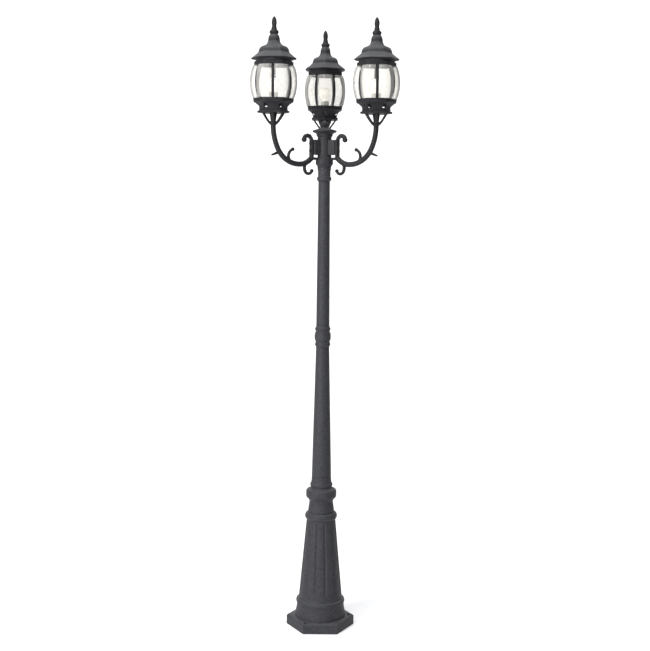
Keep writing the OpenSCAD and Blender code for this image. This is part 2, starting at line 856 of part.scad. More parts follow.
// Six ribs bowed like the glass, standing between two rings
module cage() {
    axis_r = rib_r - rib_bow;
    turn = 2 * asin((pane_h / 2 + head_ring_h) / rib_bow);
    difference() {
        union() {
            translate([0, 0, h_cage])
                soft_hex(ring_r + 1.5, foot_ring_h);
            translate([0, 0, h_head])
                soft_hex(head_ring_r, head_ring_h);
            intersection() {
                for (a = [0 : 60 : 300])
                    rotate(a)
                        translate([axis_r, 0, rib_belly])
                            rotate([90, 0, 0])
                                rotate(-turn / 2)
                                    rotate_extrude(angle = turn)
                                        rib_section();
                cylinder_from(ring_r + 20, h_cage + 1, h_roof - 1);
            }
        }
        bore(ring_bore_r, h_cage - eps, h_roof + eps);
    }
}

// Section of a rib: flat back, bevelled front
module rib_section() {
    b = rib_w / 4;
    polygon([
        [rib_bow - rib_d, -rib_w / 2],
        [rib_bow - b, -rib_w / 2],
        [rib_bow, -rib_w / 2 + b],
        [rib_bow, rib_w / 2 - b],
        [rib_bow - b, rib_w / 2],
        [rib_bow - rib_d, rib_w / 2]
    ]);
}

// A shell of glass bent both ways, from t0 to t1 below the outer face
module bent_glass(t0, t1, turn) {
    translate([belly_r - pane_bow, 0, rib_belly])
        rotate([90, 0, 0])
            rotate(-turn)
                rotate_extrude(angle = 2 * turn)
                    translate([pane_bow - pane_bend, 0])
                        intersection() {
                            difference() {
                                circle(r = pane_bend - t0);
                                circle(r = pane_bend - t1);
                            }
                            translate([0, -pane_bend])
                                square([pane_bend, 2 * pane_bend]);
                        }
}

// The wedge of space that one pane may fill, drawn in by inset
module pane_space(inset) {
    edge = rib_w / 2 + seat_gap + inset;
    translate([0, 0, h_pane + seat_gap + inset])
        linear_extrude(pane_h - 2 * seat_gap - 2 * inset)
            polygon([
                [edge / sin(30), 0],
                [edge / sin(30) + 120 * cos(30), 60],
                [edge / sin(30) + 120 * cos(30), -60]
            ]);
}

// Six panes, each a thin sheet with a thicker field that leaves a border
module panes() {
    turn = asin(pane_h / 2 / pane_bow) + 4;
    for (a = [30 : 60 : 330])
        rotate(a)
            union() {
                intersection() {
                    bent_glass(bevel_t, pane_t, turn);
                    pane_space(0);
                }
                intersection() {
                    bent_glass(0, bevel_t + 0.2, turn);
                    pane_space(bevel_w);
                }
            }
}

module socket() {
    difference() {
        union() {
            cylinder_from(socket_r, h_socket, h_socket + socket_h);
            cylinder_from(socket_r + 3, h_socket, h_socket + 5);
        }
        bore(bulb_base_r + seat_gap, h_bulb - seat_gap, h_socket + socket_h + eps);
        bore(pipe_r + spigot_gap, h_socket - eps, h_socket + 3 + seat_gap);
    }
}

module bulb() {
    crown = h_bulb + bulb_h;
    ball_z = crown - bulb_r;
    // the glass flares above the socket's mouth
    neck_z = h_socket + socket_h + 0.5;
    shoulder = bulb_r * [cos(30), -sin(30)] + [0, ball_z];
    turned(concat(
        [[5, h_bulb], [8, h_bulb + 3], [bulb_base_r, h_bulb + 5]],
        curve([bulb_base_r, neck_z], [bulb_base_r, neck_z + 6],
            shoulder - 7 * [sin(30), cos(30)], shoulder, 8),
        [for (i = [1 : 14]) let (t = -30 + i * 120 / 14) bulb_r * [cos(t), 0] +
            [0, ball_z + bulb_r * sin(t)]]
    ));
}

module bridge() {
    top = h_roof + h_finial + finial_h * 0.42;
    bar_l = ring_bore_r + 3.5;
    union() {
        translate([-bar_l, -bridge_w / 2, h_roof])
            cube([2 * bar_l, bridge_w, bridge_t]);
        cylinder_from(stud_r + 2.5, h_roof + bridge_t - eps, h_roof + bridge_t + 5);
        cylinder_from(stud_r, h_roof, top);
    }
}

// The roof's corner line: brim, concave slope, dome, sweep and neck
function roof_profile() = concat(
    [[brim_r - 7, lip_h], [brim_r - 2, lip_h + 1.5], [brim_r, lip_h + 2.5], [brim_r, h_brim]],
    curve([brim_r - 1.5, h_brim + 1.5], [brim_r - 10, h_brim + 9],
        [dome_r + 5, h_dome - 6], [dome_r, h_dome], 6),
    curve([dome_r - 0.5, h_dome + 1.5], [dome_r - 3, h_dome + 14],
        [dome_r - 7, h_neck - 3], [dome_r - 19, h_neck], 8),
    curve([dome_r - 21, h_neck + 0.6], [neck_r + 5, h_neck + 4],
        [neck_r + 3, h_neck + 10], [neck_r, h_neck + 18], 6),
    curve([neck_r - 0.1, h_neck + 18.5], [neck_r - 0.5, h_neck + 24],
        [neck_r - 0.5, h_finial - 8], [finial_bead_r - 1.6, h_finial], 6)
);

// Where the roof's flats lie, as a share of the corner line: fullest at brim and neck
function roof_share(r) =
    r > dome_r ? dome_share + (brim_share - dome_share) * (r - dome_r) / (brim_r - dome_r)
    : dome_share + (brim_share - dome_share) * (dome_r - r) / (dome_r - finial_bead_r + 1.6);

// A six-sided solid with cut corners: six flats that follow one line and six corners on another
module faceted(flats, corners) {
    intersection() {
        for_side(flats, 0);
        for_side(flats, 60);
        for_side(flats, 120);
        for_side(corners, 30);
        for_side(corners, 90);
        for_side(corners, 150);
    }
}

module for_side(line, a) {
    hex_side(concat(line, [for (i = [len(line) - 1 : -1 : 0]) [-line[i][0], line[i][1]]]), a);
}

module roof() {
    corners = roof_profile();
    flats = [for (p = corners) [p[0] * roof_share(p[0]), p[1]]];
    inner = [for (p = flats) if (p[1] > h_brim + 1) [p[0] - roof_wall, p[1] - roof_wall]];
    translate([0, 0, h_roof])
    difference() {
        union() {
            faceted(flats, corners);
            cylinder_from(ring_bore_r + 4 + 1.5 * roof_wall, 0, lip_h + 1);
        }
        bore(ring_bore_r + 4, -eps, h_brim + 1);
        turned(concat([[ring_bore_r + 4, h_brim]], inner));
        bore(stud_r + 0.6, h_finial - 8, h_finial + eps);
    }
}

module finial() {
    z0 = h_roof + h_finial + seat_gap;
    drop_z = z0 + finial_h - 31;
    difference() {
        turned(concat(
            [[finial_bead_r - 2.5, z0]],
            bead(finial_bead_r - 3, 3, z0 + 2, z0 + 15),
            curve([finial_bead_r - 5, z0 + 15.5], [10.5, z0 + 20], [9.4, z0 + 26],
                [8.3, drop_z - 5], 5),
            curve([8.2, drop_z - 3], [finial_drop_r + 1, drop_z + 2],
                [finial_drop_r + 1.4, z0 + finial_h - 8], [0.3, z0 + finial_h], 10)
        ));
        bore(stud_r + seat_gap, z0 - eps, h_roof + h_finial + finial_h * 0.42 + 2);
    }
}

// Where the arms and lanterns go

module at_arm(side) {
    rotate(side == "left" ? -150 : side == "right" ? -30 : 90)
        children();
}

module at_lantern(side) {
    at_arm(side)
        translate([arm_reach, 0, z_end])
            rotate(side == "rear" ? rear_turn : 0)
                children();
}

iron = [0.25, 0.25, 0.27];
module arm_left() { color(iron) at_arm("left") arm(); }
module arm_right() { color(iron) at_arm("right") arm(); }
module arm_rear() { color(iron) at_arm("rear") arm(); }
module arm_bolts_left() { color("silver") at_arm("left") arm_bolts(); }
module arm_bolts_right() { color("silver") at_arm("right") arm_bolts(); }
module arm_bolts_rear() { color("silver") at_arm("rear") arm_bolts(); }
module holder_left() { color(iron) at_lantern("left") holder(); }
module holder_right() { color(iron) at_lantern("right") holder(); }
module holder_rear() { color(iron) at_lantern("rear") holder(); }
module pipe_left() { color("gray") at_lantern("left") pipe(); }
module pipe_right() { color("gray") at_lantern("right") pipe(); }
module pipe_rear() { color("gray") at_lantern("rear") pipe(); }
module cage_left() { color([0.3, 0.3, 0.32]) at_lantern("left") cage(); }
module cage_right() { color([0.3, 0.3, 0.32]) at_lantern("right") cage(); }
module cage_rear() { color([0.3, 0.3, 0.32]) at_lantern("rear") cage(); }
module panes_left() { color([0.8, 0.88, 0.9, 0.4]) at_lantern("left") panes(); }
module panes_right() { color([0.8, 0.88, 0.9, 0.4]) at_lantern("right") panes(); }
module panes_rear() { color([0.8, 0.88, 0.9, 0.4]) at_lantern("rear") panes(); }
module socket_left() { color("dimgray") at_lantern("left") socket(); }
module socket_right() { color("dimgray") at_lantern("right") socket(); }
module socket_rear() { color("dimgray") at_lantern("rear") socket(); }
module bulb_left() { color("ivory") at_lantern("left") bulb(); }
module bulb_right() { color("ivory") at_lantern("right") bulb(); }
module bulb_rear() { color("ivory") at_lantern("rear") bulb(); }
module bridge_left() { color("gray") at_lantern("left") bridge(); }
module bridge_right() { color("gray") at_lantern("right") bridge(); }
module bridge_rear() { color("gray") at_lantern("rear") bridge(); }
module roof_left() { color([0.22, 0.22, 0.24]) at_lantern("left") roof(); }
module roof_right() { color([0.22, 0.22, 0.24]) at_lantern("right") roof(); }
module roof_rear() { color([0.22, 0.22, 0.24]) at_lantern("rear") roof(); }
module finial_left() { color([0.3, 0.3, 0.32]) at_lantern("left") finial(); }
module finial_right() { color([0.3, 0.3, 0.32]) at_lantern("right") finial(); }
module finial_rear() { color([0.3, 0.3, 0.32]) at_lantern("rear") finial(); }

pedestal();
pedestal_collar();
lower_post();
post_coupling();
upper_post();
hub_ferrule();
hub_body();
hub_cap();
hub_knob();
arm_left();
arm_right();
arm_rear();
arm_bolts_left();
arm_bolts_right();
arm_bolts_rear();
holder_left();
holder_right();
holder_rear();
pipe_left();
pipe_right();
pipe_rear();
cage_left();
cage_right();
cage_rear();
panes_left();
panes_right();
panes_rear();
socket_left();
socket_right();
socket_rear();
bulb_left();
bulb_right();
bulb_rear();
bridge_left();
bridge_right();
bridge_rear();
roof_left();
roof_right();
roof_rear();
finial_left();
finial_right();
finial_rear();
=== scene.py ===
# A garden post light with three lanterns, dressed from the ground up.
# Sizes in the sections are millimetres; they become metres where a mesh is made.
import math

import bpy
import numpy as np
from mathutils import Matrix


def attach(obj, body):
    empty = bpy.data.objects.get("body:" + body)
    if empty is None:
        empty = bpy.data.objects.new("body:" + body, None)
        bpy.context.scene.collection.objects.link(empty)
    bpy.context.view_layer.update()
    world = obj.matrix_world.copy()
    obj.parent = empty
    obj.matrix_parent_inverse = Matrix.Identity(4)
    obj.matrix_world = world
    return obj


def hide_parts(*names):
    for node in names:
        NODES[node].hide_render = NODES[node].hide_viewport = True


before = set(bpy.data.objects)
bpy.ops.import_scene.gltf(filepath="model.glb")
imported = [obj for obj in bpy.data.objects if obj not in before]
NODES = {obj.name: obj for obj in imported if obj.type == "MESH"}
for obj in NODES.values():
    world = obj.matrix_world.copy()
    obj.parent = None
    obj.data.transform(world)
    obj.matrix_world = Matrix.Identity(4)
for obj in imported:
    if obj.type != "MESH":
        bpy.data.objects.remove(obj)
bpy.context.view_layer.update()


# Floor, light and camera
# A pale studio floor that curves up into a lit backdrop, soft light from the left, the front
# and above with a little at the foot, and the view of the photograph: a long lens held level
# a little below the lanterns.

class Wire:
    """A socket of a material's nodes, so that shader maths reads as an expression."""

    def __init__(self, tree, socket):
        self.tree = tree
        self.socket = socket

    def node(self, kind, settings, sockets, out=0):
        """Adds a node: settings first, then values or wires for its sockets."""
        made = self.tree.nodes.new("ShaderNode" + kind)
        for name, value in settings.items():
            if name == "stops":
                ramp = made.color_ramp
                while len(ramp.elements) < len(value):
                    ramp.elements.new(0.5)
                for stop, (place, colour) in zip(ramp.elements, value):
                    stop.position = place
                    stop.color = (*colour, 1)
            else:
                setattr(made, name, value)
        for name, value in sockets.items():
            if isinstance(value, Wire):
                self.tree.links.new(value.socket, made.inputs[name])
            else:
                made.inputs[name].default_value = value
        return Wire(self.tree, made.outputs[out])

    def maths(self, operation, *values):
        return self.node("Math", {"operation": operation}, dict(enumerate(values)))

    def __add__(self, other):
        return self.maths("ADD", self, other)

    def __mul__(self, other):
        return self.maths("MULTIPLY", self, other)

    __radd__ = __add__
    __rmul__ = __mul__

    def __pow__(self, power):
        return self.maths("POWER", self, power)

    def between(self, low, high):
        """0 below low, 1 above high and smooth between them."""
        return self.node("MapRange", {"interpolation_type": "SMOOTHSTEP"},
                         {"Value": self, "From Min": low, "From Max": high})

    def tint(self, first, second):
        """The colour first where the wire is 0 and second where it is 1."""
        mix = self.tree.nodes.new("ShaderNodeMix")
        mix.data_type = "RGBA"
        for number, value in ((0, self), (6, first), (7, second)):
            if isinstance(value, Wire):
                self.tree.links.new(value.socket, mix.inputs[number])
            else:
                mix.inputs[number].default_value = (*value, 1)
        return Wire(self.tree, mix.outputs[2])

    def noise(self, scale, detail=2, rough=0.5):
        """Noise over the object's own coordinates, scale in cells per metre."""
        where = self.node("TexCoord", {}, {}, out=3)
        return self.node("TexNoise", {}, {"Vector": where, "Scale": scale, "Detail": detail,
                                          "Roughness": rough})

    def bumps(self, height, depth, strength=1.0, normal=None):
        """Bumps of that depth in metres where height goes from 0 to 1."""
        sockets = {"Height": height, "Distance": depth, "Strength": strength}
        if normal is not None:
            sockets["Normal"] = normal
        return self.node("Bump", {}, sockets)


def finish_of(name, **fixed):
    """A new material with its Principled shader, and a wire that starts its nodes."""
    material = bpy.data.materials.new(name)
    material.use_nodes = True
    tree = material.node_tree
    shader = tree.nodes["Principled BSDF"]
    for socket, value in fixed.items():
        shader.inputs[socket.replace("_", " ")].default_value = value
    return material, shader, Wire(tree, None)


def feed(wire, shader, **links):
    """Joins wires to the shader's sockets of those names."""
    for socket, value in links.items():
        wire.tree.links.new(value.socket, shader.inputs[socket.replace("_", " ")])


def studio_floor():
    """A floor 24 m wide whose back bends up in a quarter circle of 2.5 m radius."""
    bend = 2.5
    turn = np.linspace(0, np.pi / 2, 24)
    y = np.concatenate([[-9, 3], 3 + bend * np.sin(turn[1:]), [3 + bend]])
    z = np.concatenate([[0, 0], bend * (1 - np.cos(turn[1:])), [9]])
    x = np.linspace(-12, 12, 2)
    verts = np.stack(np.broadcast_arrays(x[None, :], y[:, None], z[:, None]), -1)
    rows = np.arange(len(y) - 1)[:, None] * 2
    faces = rows + np.array([0, 1, 3, 2])
    mesh = bpy.data.meshes.new("studio_floor")
    mesh.from_pydata(verts.reshape(-1, 3).tolist(), [], faces.tolist())
    mesh.shade_smooth()
    floor = bpy.data.objects.new("studio_floor", mesh)
    bpy.context.scene.collection.objects.link(floor)
    # the paper glows a little, so that it stays white without swallowing thin edges
    pale, shader, wire = finish_of("floor_paper", Roughness=0.85, Emission_Strength=0.2)
    shade = wire.noise(1.5, 2).tint((0.86, 0.86, 0.87), (0.9, 0.9, 0.9))
    feed(wire, shader, Base_Color=shade, Emission_Color=shade)
    mesh.materials.append(pale)


def softbox(name, place, aim, size, power, colour):
    """A rectangular lamp that faces from its place towards aim."""
    lamp = bpy.data.lights.new(name, "AREA")
    lamp.shape = "RECTANGLE"
    lamp.size, lamp.size_y = size
    lamp.energy = power
    lamp.color = colour
    holder = bpy.data.objects.new(name, lamp)
    bpy.context.scene.collection.objects.link(holder)
    holder.location = place
    direction = np.array(aim) - np.array(place)
    flat = math.hypot(direction[0], direction[1])
    holder.rotation_euler = (math.pi / 2 + math.atan2(direction[2], flat), 0,
                             math.atan2(direction[1], direction[0]) - math.pi / 2)


def photograph_camera():
    """Looks level along +Y from 4.28 m away and 1.58 m up, rolled by half a degree, with
    the picture shifted down until the whole post is in it. The lantern at the back is 7.9
    per cent smaller than the two in front, which sets the distance."""
    focal_px, picture_px, middle_row, level_row = 1126, 651, 325.5, 207
    camera = bpy.data.cameras.new("camera")
    camera.sensor_width = 36
    camera.lens = camera.sensor_width * focal_px / picture_px
    camera.shift_y = (level_row - middle_row) / picture_px
    holder = bpy.data.objects.new("camera", camera)
    bpy.context.scene.collection.objects.link(holder)
    holder.location = (0.004, -4.28, 1.583)
    holder.rotation_euler = (math.pi / 2, math.radians(-0.54), 0)
    bpy.context.scene.camera = holder


studio_floor()
softbox("key_left", (-3.0, -3.4, 2.7), (0, 0, 1.2), (1.4, 2.6), 225, (1, 0.99, 0.97))
softbox("front_fill", (-0.6, -5.4, 2.0), (0, 0, 1.1), (2.0, 2.0), 24, (1, 1, 1))
softbox("top_soft", (-0.5, -1.5, 4.3), (0, 0, 2.0), (1.5, 1.5), 60, (1, 1, 1))
softbox("foot_fill", (-1.5, -2.6, 0.7), (0, 0, 0.1), (0.9, 0.6), 16, (1, 1, 1))
softbox("backdrop_light", (1.0, 1.0, 5.0), (0.8, 4.8, 1.6), (9.0, 2.0), 205, (1, 1, 1))
world = bpy.data.worlds.new("studio_air")
bpy.context.scene.world = world
world.use_nodes = True
world.node_tree.nodes["Background"].inputs["Color"].default_value = (0.95, 0.97, 1, 1)
world.node_tree.nodes["Background"].inputs["Strength"].default_value = 0.25
bpy.context.scene.view_settings.view_transform = "Standard"
photograph_camera()


# Charcoal paint
# Every casting is sand-cast aluminium under one textured matte charcoal powder coat. The
# lanterns, arms and hub look darker than this soft light makes them, so those have darker
# copies of the coat, which are painted shade, and the roofs a darker copy with pale dusting
# and painted top light on what faces up.

def charcoal_paint(name, tint=1.0, dust_and_top_light_share=0.42, level=(0.3, 0.95)):
    """A fine sandy skin over the slow waves of the casting. The tint scales the paint's two
    charcoals, and a tint below 1 makes a darker copy of the coat, which is painted shade.
    Pale dusting and painted top light come in where the upward share of the surface's
    direction goes through level, up to the share given after the tint."""
    paint, shader, wire = finish_of(name, Specular_IOR_Level=0.18)
    wave = wire.noise(42, 2)
    blotch = wire.noise(150, 3, 0.6)
    sand = wire.noise(820, 2, 0.6)
    grit = wire.node("TexVoronoi", {}, {"Vector": wire.node("TexCoord", {}, {}, out=3),
                                        "Scale": 1100.0})
    tone = (blotch * 0.55 + sand * 0.45).between(0.34, 0.68)
    colour = tone.tint((0.022 * tint, 0.022 * tint, 0.025 * tint),
                       (0.044 * tint, 0.045 * tint, 0.052 * tint))
    # pale on what faces up, more where the casting is rough: dusting, and painted top light that
    # makes the tops lighter
    facing = wire.node("SeparateXYZ", {}, {"Vector": wire.node("NewGeometry", {}, {}, out=1)},
                       out=2)
    dust_and_top_light = facing.between(*level) * (blotch.between(0.25, 0.75) * 0.3 + sand * 0.7) * dust_and_top_light_share
    colour = dust_and_top_light.tint(colour, (0.125, 0.128, 0.135))
    skin = wire.bumps(sand * 0.7 + grit * 0.5, 0.0007, 0.55)
    skin = wire.bumps(wave, 0.0022, 0.5, skin)
    feed(wire, shader, Base_Color=colour, Roughness=sand * 0.22 + 0.44, Normal=skin)
    return paint


# the post's coat, with pale dusting and painted top light on what faces up
PAINT = charcoal_paint("charcoal_paint")
# the hub's copy is darker, which is painted shade
HUB_PAINT_PAINTED_SHADE = charcoal_paint("hub_charcoal_painted_shade", 0.72, 0.25)
# the copy for arms, bolts and lanterns is darker still, which is painted shade
PAINT_PAINTED_DEEP_SHADE = charcoal_paint("charcoal_painted_deep_shade", 0.46, 0.22)
# the roofs' copy is darker, which is painted shade, with heavy pale on what faces up, which is
# dusting and painted top light
ROOF_PAINT_SHADE_AND_TOP_LIGHT = charcoal_paint("roof_charcoal_painted_shade_and_top_light", 0.55, 0.78, (0.0, 0.6))


# Pedestal
# The hollow foot casting: a six-sided plate with three anchor holes, a skirt with a
# rounded band, a cone of twelve reeds parted by narrow grooves, and a bevelled band.

def softened(points, reach):
    """A line of points with each inner corner P turned into a quadratic curve that starts
    and ends reach away from P, or nearer where the next corner is close."""
    p = np.asarray(points, float)
    before, corner, after = p[:-2], p[1:-1], p[2:]
    back, ahead = before - corner, after - corner
    back_l = np.linalg.norm(back, axis=1, keepdims=True) + 1e-9
    ahead_l = np.linalg.norm(ahead, axis=1, keepdims=True) + 1e-9
    cut = np.minimum(reach, 0.45 * np.minimum(back_l, ahead_l))
    t = np.linspace(0, 1, 5)[None, :, None]
    start = (corner + back / back_l * cut)[:, None]
    end = (corner + ahead / ahead_l * cut)[:, None]
    curve = (1 - t) ** 2 * start + 2 * t * (1 - t) * corner[:, None] + t ** 2 * end
    return np.vstack([p[:1], curve.reshape(-1, p.shape[1]), p[-1:]])


def cubic(p0, p1, p2, p3, steps=10):
    """Points of the cubic curve from p0 to p3 that leaves towards p1 and arrives from p2."""
    t = np.linspace(0, 1, steps + 1)[:, None]
    p0, p1, p2, p3 = (np.asarray(p, float) for p in (p0, p1, p2, p3))
    return (1 - t) ** 3 * p0 + 3 * (1 - t) ** 2 * t * p1 + 3 * (1 - t) * t ** 2 * p2 + t ** 3 * p3


def bead(radius, out, low, high, steps=10):
    """Half an ellipse that stands out from the radius between two heights."""
    t = np.linspace(0, np.pi, steps + 1)
    return np.stack([radius + out * np.sin(t),
                     (low + high) / 2 - (high - low) / 2 * np.cos(t)], 1)


def around(radii, heights, sides):
    """Rings of points: row i has radius radii[i, j] and height heights[i] at angle j."""
    angle = np.arange(sides) * 2 * np.pi / sides
    radii = np.broadcast_to(radii, (len(heights), sides))
    return np.stack([radii * np.cos(angle), radii * np.sin(angle),
                     np.broadcast_to(np.asarray(heights)[:, None], radii.shape)], -1)


def skin(rings, ring_shut=False):
    """A closed surface over rows of rings. The rows join head to tail where ring_shut is
    true, and otherwise the first and last ring are closed by a fan to their middle."""
    rows, sides = rings.shape[:2]
    verts = rings.reshape(-1, 3)
    row = np.arange(rows if ring_shut else rows - 1)[:, None]
    side = np.arange(sides)[None, :]
    after = (side + 1) % sides
    above = (row + 1) % rows
    quads = np.stack([row * sides + side, row * sides + after,
                      above * sides + after, above * sides + side], -1).reshape(-1, 4)
    if ring_shut:
        return verts, quads, np.zeros((0, 3), int)
    foot, head = len(verts), len(verts) + 1
    verts = np.vstack([verts, rings[0].mean(0), rings[-1].mean(0)])
    side, after = side[0], after[0]
    last = (rows - 1) * sides
    low = np.stack([np.full(sides, foot), after, side], -1)
    top = np.stack([np.full(sides, head), last + side, last + after], -1)
    return verts, quads, np.vstack([low, top])


def turned(points, sides=72, soft=0.8):
    """A turned piece: its profile, softened, carried once round the post's axis."""
    line = softened(points, soft) if soft else np.asarray(points, float)
    return skin(around(line[:, :1], line[:, 1], sides))


def carry(shell, turn=0.0, reach=0.0, lift=0.0, spin=0.0):
    """The shell spun about its own axis, set reach away from the post and turned round it."""
    verts, quads, tris = shell
    c, s = math.cos(math.radians(spin)), math.sin(math.radians(spin))
    x, y = verts[:, 0] * c - verts[:, 1] * s + reach, verts[:, 0] * s + verts[:, 1] * c
    c, s = math.cos(math.radians(turn)), math.sin(math.radians(turn))
    return np.stack([x * c - y * s, x * s + y * c, verts[:, 2] + lift], 1), quads, tris


def joined(name, shells):
    """One object, in metres, of closed shells in millimetres that share no vertex."""
    base, verts, faces = 0, [], []
    for v, quads, tris in shells:
        verts.append(v)
        faces += (quads + base).tolist() + (tris + base).tolist()
        base += len(v)
    mesh = bpy.data.meshes.new(name)
    mesh.from_pydata((np.vstack(verts) / 1000).tolist(), [], faces)
    piece = bpy.data.objects.new(name, mesh)
    bpy.context.scene.collection.objects.link(piece)
    return piece


def make(name, shells, material, nodes, body="root"):
    """A piece of one or more closed shells, riding and replacing as the CAD nodes do."""
    piece = joined(name, shells)
    piece.data.materials.append(material)
    piece.data.shade_smooth()
    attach(piece, body)
    if nodes:
        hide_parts(*nodes)
    return piece


def cut_away(piece, shells):
    """Cuts the shells out of the piece, as a drill or a core leaves its hole."""
    cutter = joined("cutter", shells)
    bore = piece.modifiers.new("bore", "BOOLEAN")
    bore.operation = "DIFFERENCE"
    bore.solver = "EXACT"
    bore.object = cutter
    bpy.context.view_layer.update()
    seen = piece.evaluated_get(bpy.context.evaluated_depsgraph_get())
    done = bpy.data.meshes.new_from_object(seen)
    piece.modifiers.clear()
    old, piece.data = piece.data, done
    bpy.data.meshes.remove(old)
    bpy.data.objects.remove(cutter)
    done.name = piece.name
    done.shade_smooth()
    done.set_sharp_from_angle(angle=math.radians(40))


def hexagon(angle, flat, corner, crisp=40.0):
    """Radius of a six-sided outline at each angle: flats at distance flat that face 0, 60
    and so on, with corners cut at distance corner. The smaller of the two rules, and the
    change from one to the other is as sharp as crisp is high."""
    local = (angle + np.pi / 6) % (np.pi / 3) - np.pi / 6
    to_flat = flat / np.cos(local)
    to_cut = corner / np.cos(np.pi / 6 - np.abs(local))
    return (to_flat ** -crisp + to_cut ** -crisp) ** (-1 / crisp)


foot_flats, foot_h = 110.0, 36.0
z_band, z_cone, z_head, z_collar = 86.0, 122.0, 400.0, 426.0
cone_r, cone_top_r, groove_depth, reeds = 80.0, 54.5, 3.4, 12


def pedestal_rings(sides=288):
    """The outside from the plate up, then the inside down. Round the cone the phase goes
    once through a half circle from groove to groove. The radius drops by groove_depth times
    |sin phase| ** 14, a narrow groove, and by a quarter of groove_depth times
    (1 - |cos phase|) ** 2, which rounds the reed. Both fade out over 9 mm at the ends."""
    angle = np.arange(sides) * 2 * np.pi / sides
    plate = foot_flats / np.cos(angle % (np.pi / 3) - np.pi / 6)
    # the plate's underside starts at the bore, and its edges are eased by shrink
    shrink = [0.6, 0, 0, 0.4, 3.6, 4.6]
    radii = [np.full(sides, 82.0)] + [plate - s for s in shrink]
    heights = [0.0, 0.0, 0.6, foot_h - 4.6, foot_h - 3.6, foot_h - 0.7, foot_h]
    wall = np.vstack([
        [[96.5, foot_h], [95.4, foot_h + 0.8], [95.0, foot_h + 2.5]],
        cubic((95, foot_h + 8), (92, foot_h + 24), (88.5, z_band - 18), (88.5, z_band - 0.5), 9),
        bead(88.5, 3.2, z_band, z_band + 14, 12),
        cubic((87, 100.4), (81, 103), (81.5, 111), (80, z_cone), 10)[1:]])
    cone = np.linspace(0, 1, 61)[1:]
    cone_z = z_cone + (z_head - z_cone) * cone
    band = softened([[54.5, z_head], [57.5, z_head + 3], [60.5, z_head + 8], [60.5, z_collar - 9],
                     [57, z_collar - 3], [53.5, z_collar], [42.0, z_collar]], 1.0)[1:]
    phase = angle * reeds / 2
    bump = np.abs(np.sin(phase)) ** 14
    fade = np.clip(np.minimum(cone_z - z_cone - 5, z_head - 6 - cone_z) / 9, 0, 1) ** 0.5
    reed = 0.5 * groove_depth * (1 - np.abs(np.cos(phase))) ** 2
    cone_r_at = (cone_r + (cone_top_r - cone_r) * cone)[:, None]
    taper = cone_r_at / cone_r
    cone_radii = cone_r_at - fade[:, None] * taper * (groove_depth * bump + reed * 0.5)
    inside = np.array([[39.35, z_collar], [39.35, z_head], [45.5, z_head - 1], [70.0, z_cone],
                       [82.5, z_band], [82.5, 40.0]])
    for r, z in wall:
        radii.append(np.full(sides, r))
        heights.append(z)
    for r, z in zip(cone_radii, cone_z):
        radii.append(r)
        heights.append(z)
    for r, z in np.vstack([band, inside]):
        radii.append(np.full(sides, r))
        heights.append(z)
    return around(np.array(radii), np.array(heights), sides)


pedestal = make("pedestal_casting", [skin(pedestal_rings(), ring_shut=True)], PAINT, ["pedestal"])
anchor_holes = [carry(turned([[6.5, -2], [6.5, 40]], 32, 0), turn=a, reach=108.0)
                for a in (0, 120, 240)]
cut_away(pedestal, anchor_holes)


# Collar, post and coupling
# Turned castings stacked on spigots: a collar with a bevelled band and a bead, a tapered
# lower tube, a coupling of two rings and a bulge, and a slimmer tapered upper tube.

z_lower, z_coupling, z_upper, z_ferrule, z_hub, z_cap = 561.0, 1048.0, 1134.0, 1680.0, 1728.0, 1860.0


def collar_profile():
    """A waist that draws in upwards, the band, the bead, and a sweep up to the post."""
    band = z_lower - 80
    top = band + 36
    ring = top + 6
    return np.vstack([
        [[43, z_collar], [49.5, z_collar]],
        cubic((49.5, z_collar + 0.6), (49.5, z_collar + 16), (45, band - 26), (45, band - 12), 12),
        [[49, band - 4], [54, band], [57.5, band + 5], [57.5, top - 10], [54.5, top - 5],
         [41.5, top], [39.5, top + 4]],
        bead(39.5, 3, ring, ring + 14),
        cubic((39.3, ring + 15), (38.2, ring + 17), (36.7, z_lower - 12), (36.7, z_lower), 8),
        [[30, z_lower]]])


def coupling_profile():
    """A waist with a slim bead at each end and a wide bulge in the middle."""
    waist, mid = 26.8, z_coupling + 43
    return np.vstack([
        [[20, z_coupling], [25.6, z_coupling], [25.9, z_coupling + 5]],
        bead(waist, 2.6, z_coupling + 8, z_coupling + 20),
        bead(waist, 4.2, mid - 17, mid + 17, 16),
        bead(waist, 2.6, z_upper - 20, z_upper - 8),
        [[25.6, z_upper - 4], [25.4, z_upper], [20, z_upper]]])


make("collar_casting", [turned(collar_profile(), 120, 1.2)], PAINT, ["pedestal_collar"])
make("lower_post_tube", [turned([[34, z_lower + 0.2], [36.6, z_lower + 0.8], [36.7, z_lower + 6],
                                 [25.2, z_coupling - 1], [22, z_coupling - 0.2]], 96, 1)],
     PAINT, ["lower_post"])
make("coupling_casting", [turned(coupling_profile(), 96, 1)], PAINT, ["post_coupling"])
make("upper_post_tube", [turned([[22, z_upper + 0.2], [25.1, z_upper + 0.8], [25.2, z_upper + 6],
                                 [22.0, z_ferrule - 1], [20, z_ferrule - 0.2]], 96, 1)],
     PAINT, ["upper_post"])


# Hub
# The ferrule on the post, the hub's drum and column with three bolting wings, the cap
# with its thin brim, and a pear-shaped knob on a stud.

ferrule_profile = np.vstack([
    [[19, z_ferrule], [23, z_ferrule]],
    bead(24, 4, z_ferrule + 2, z_ferrule + 18),
    [[24, z_hub - 9], [25.5, z_hub - 5], [25.5, z_hub], [17, z_hub]]])
make("ferrule_casting", [turned(ferrule_profile, 96, 1)], PAINT, ["hub_ferrule"])

hub_profile = np.vstack([
    [[17, z_hub], [26, z_hub]],
    cubic((26, z_hub + 5), (27, z_hub + 12), (31, z_hub + 14), (33, z_hub + 18), 7),
    [[33, z_hub + 36], [30, z_hub + 40], [26.5, z_hub + 43], [26.5, z_cap - 12],
     [31, z_cap - 7], [31, z_cap], [14, z_cap]]])


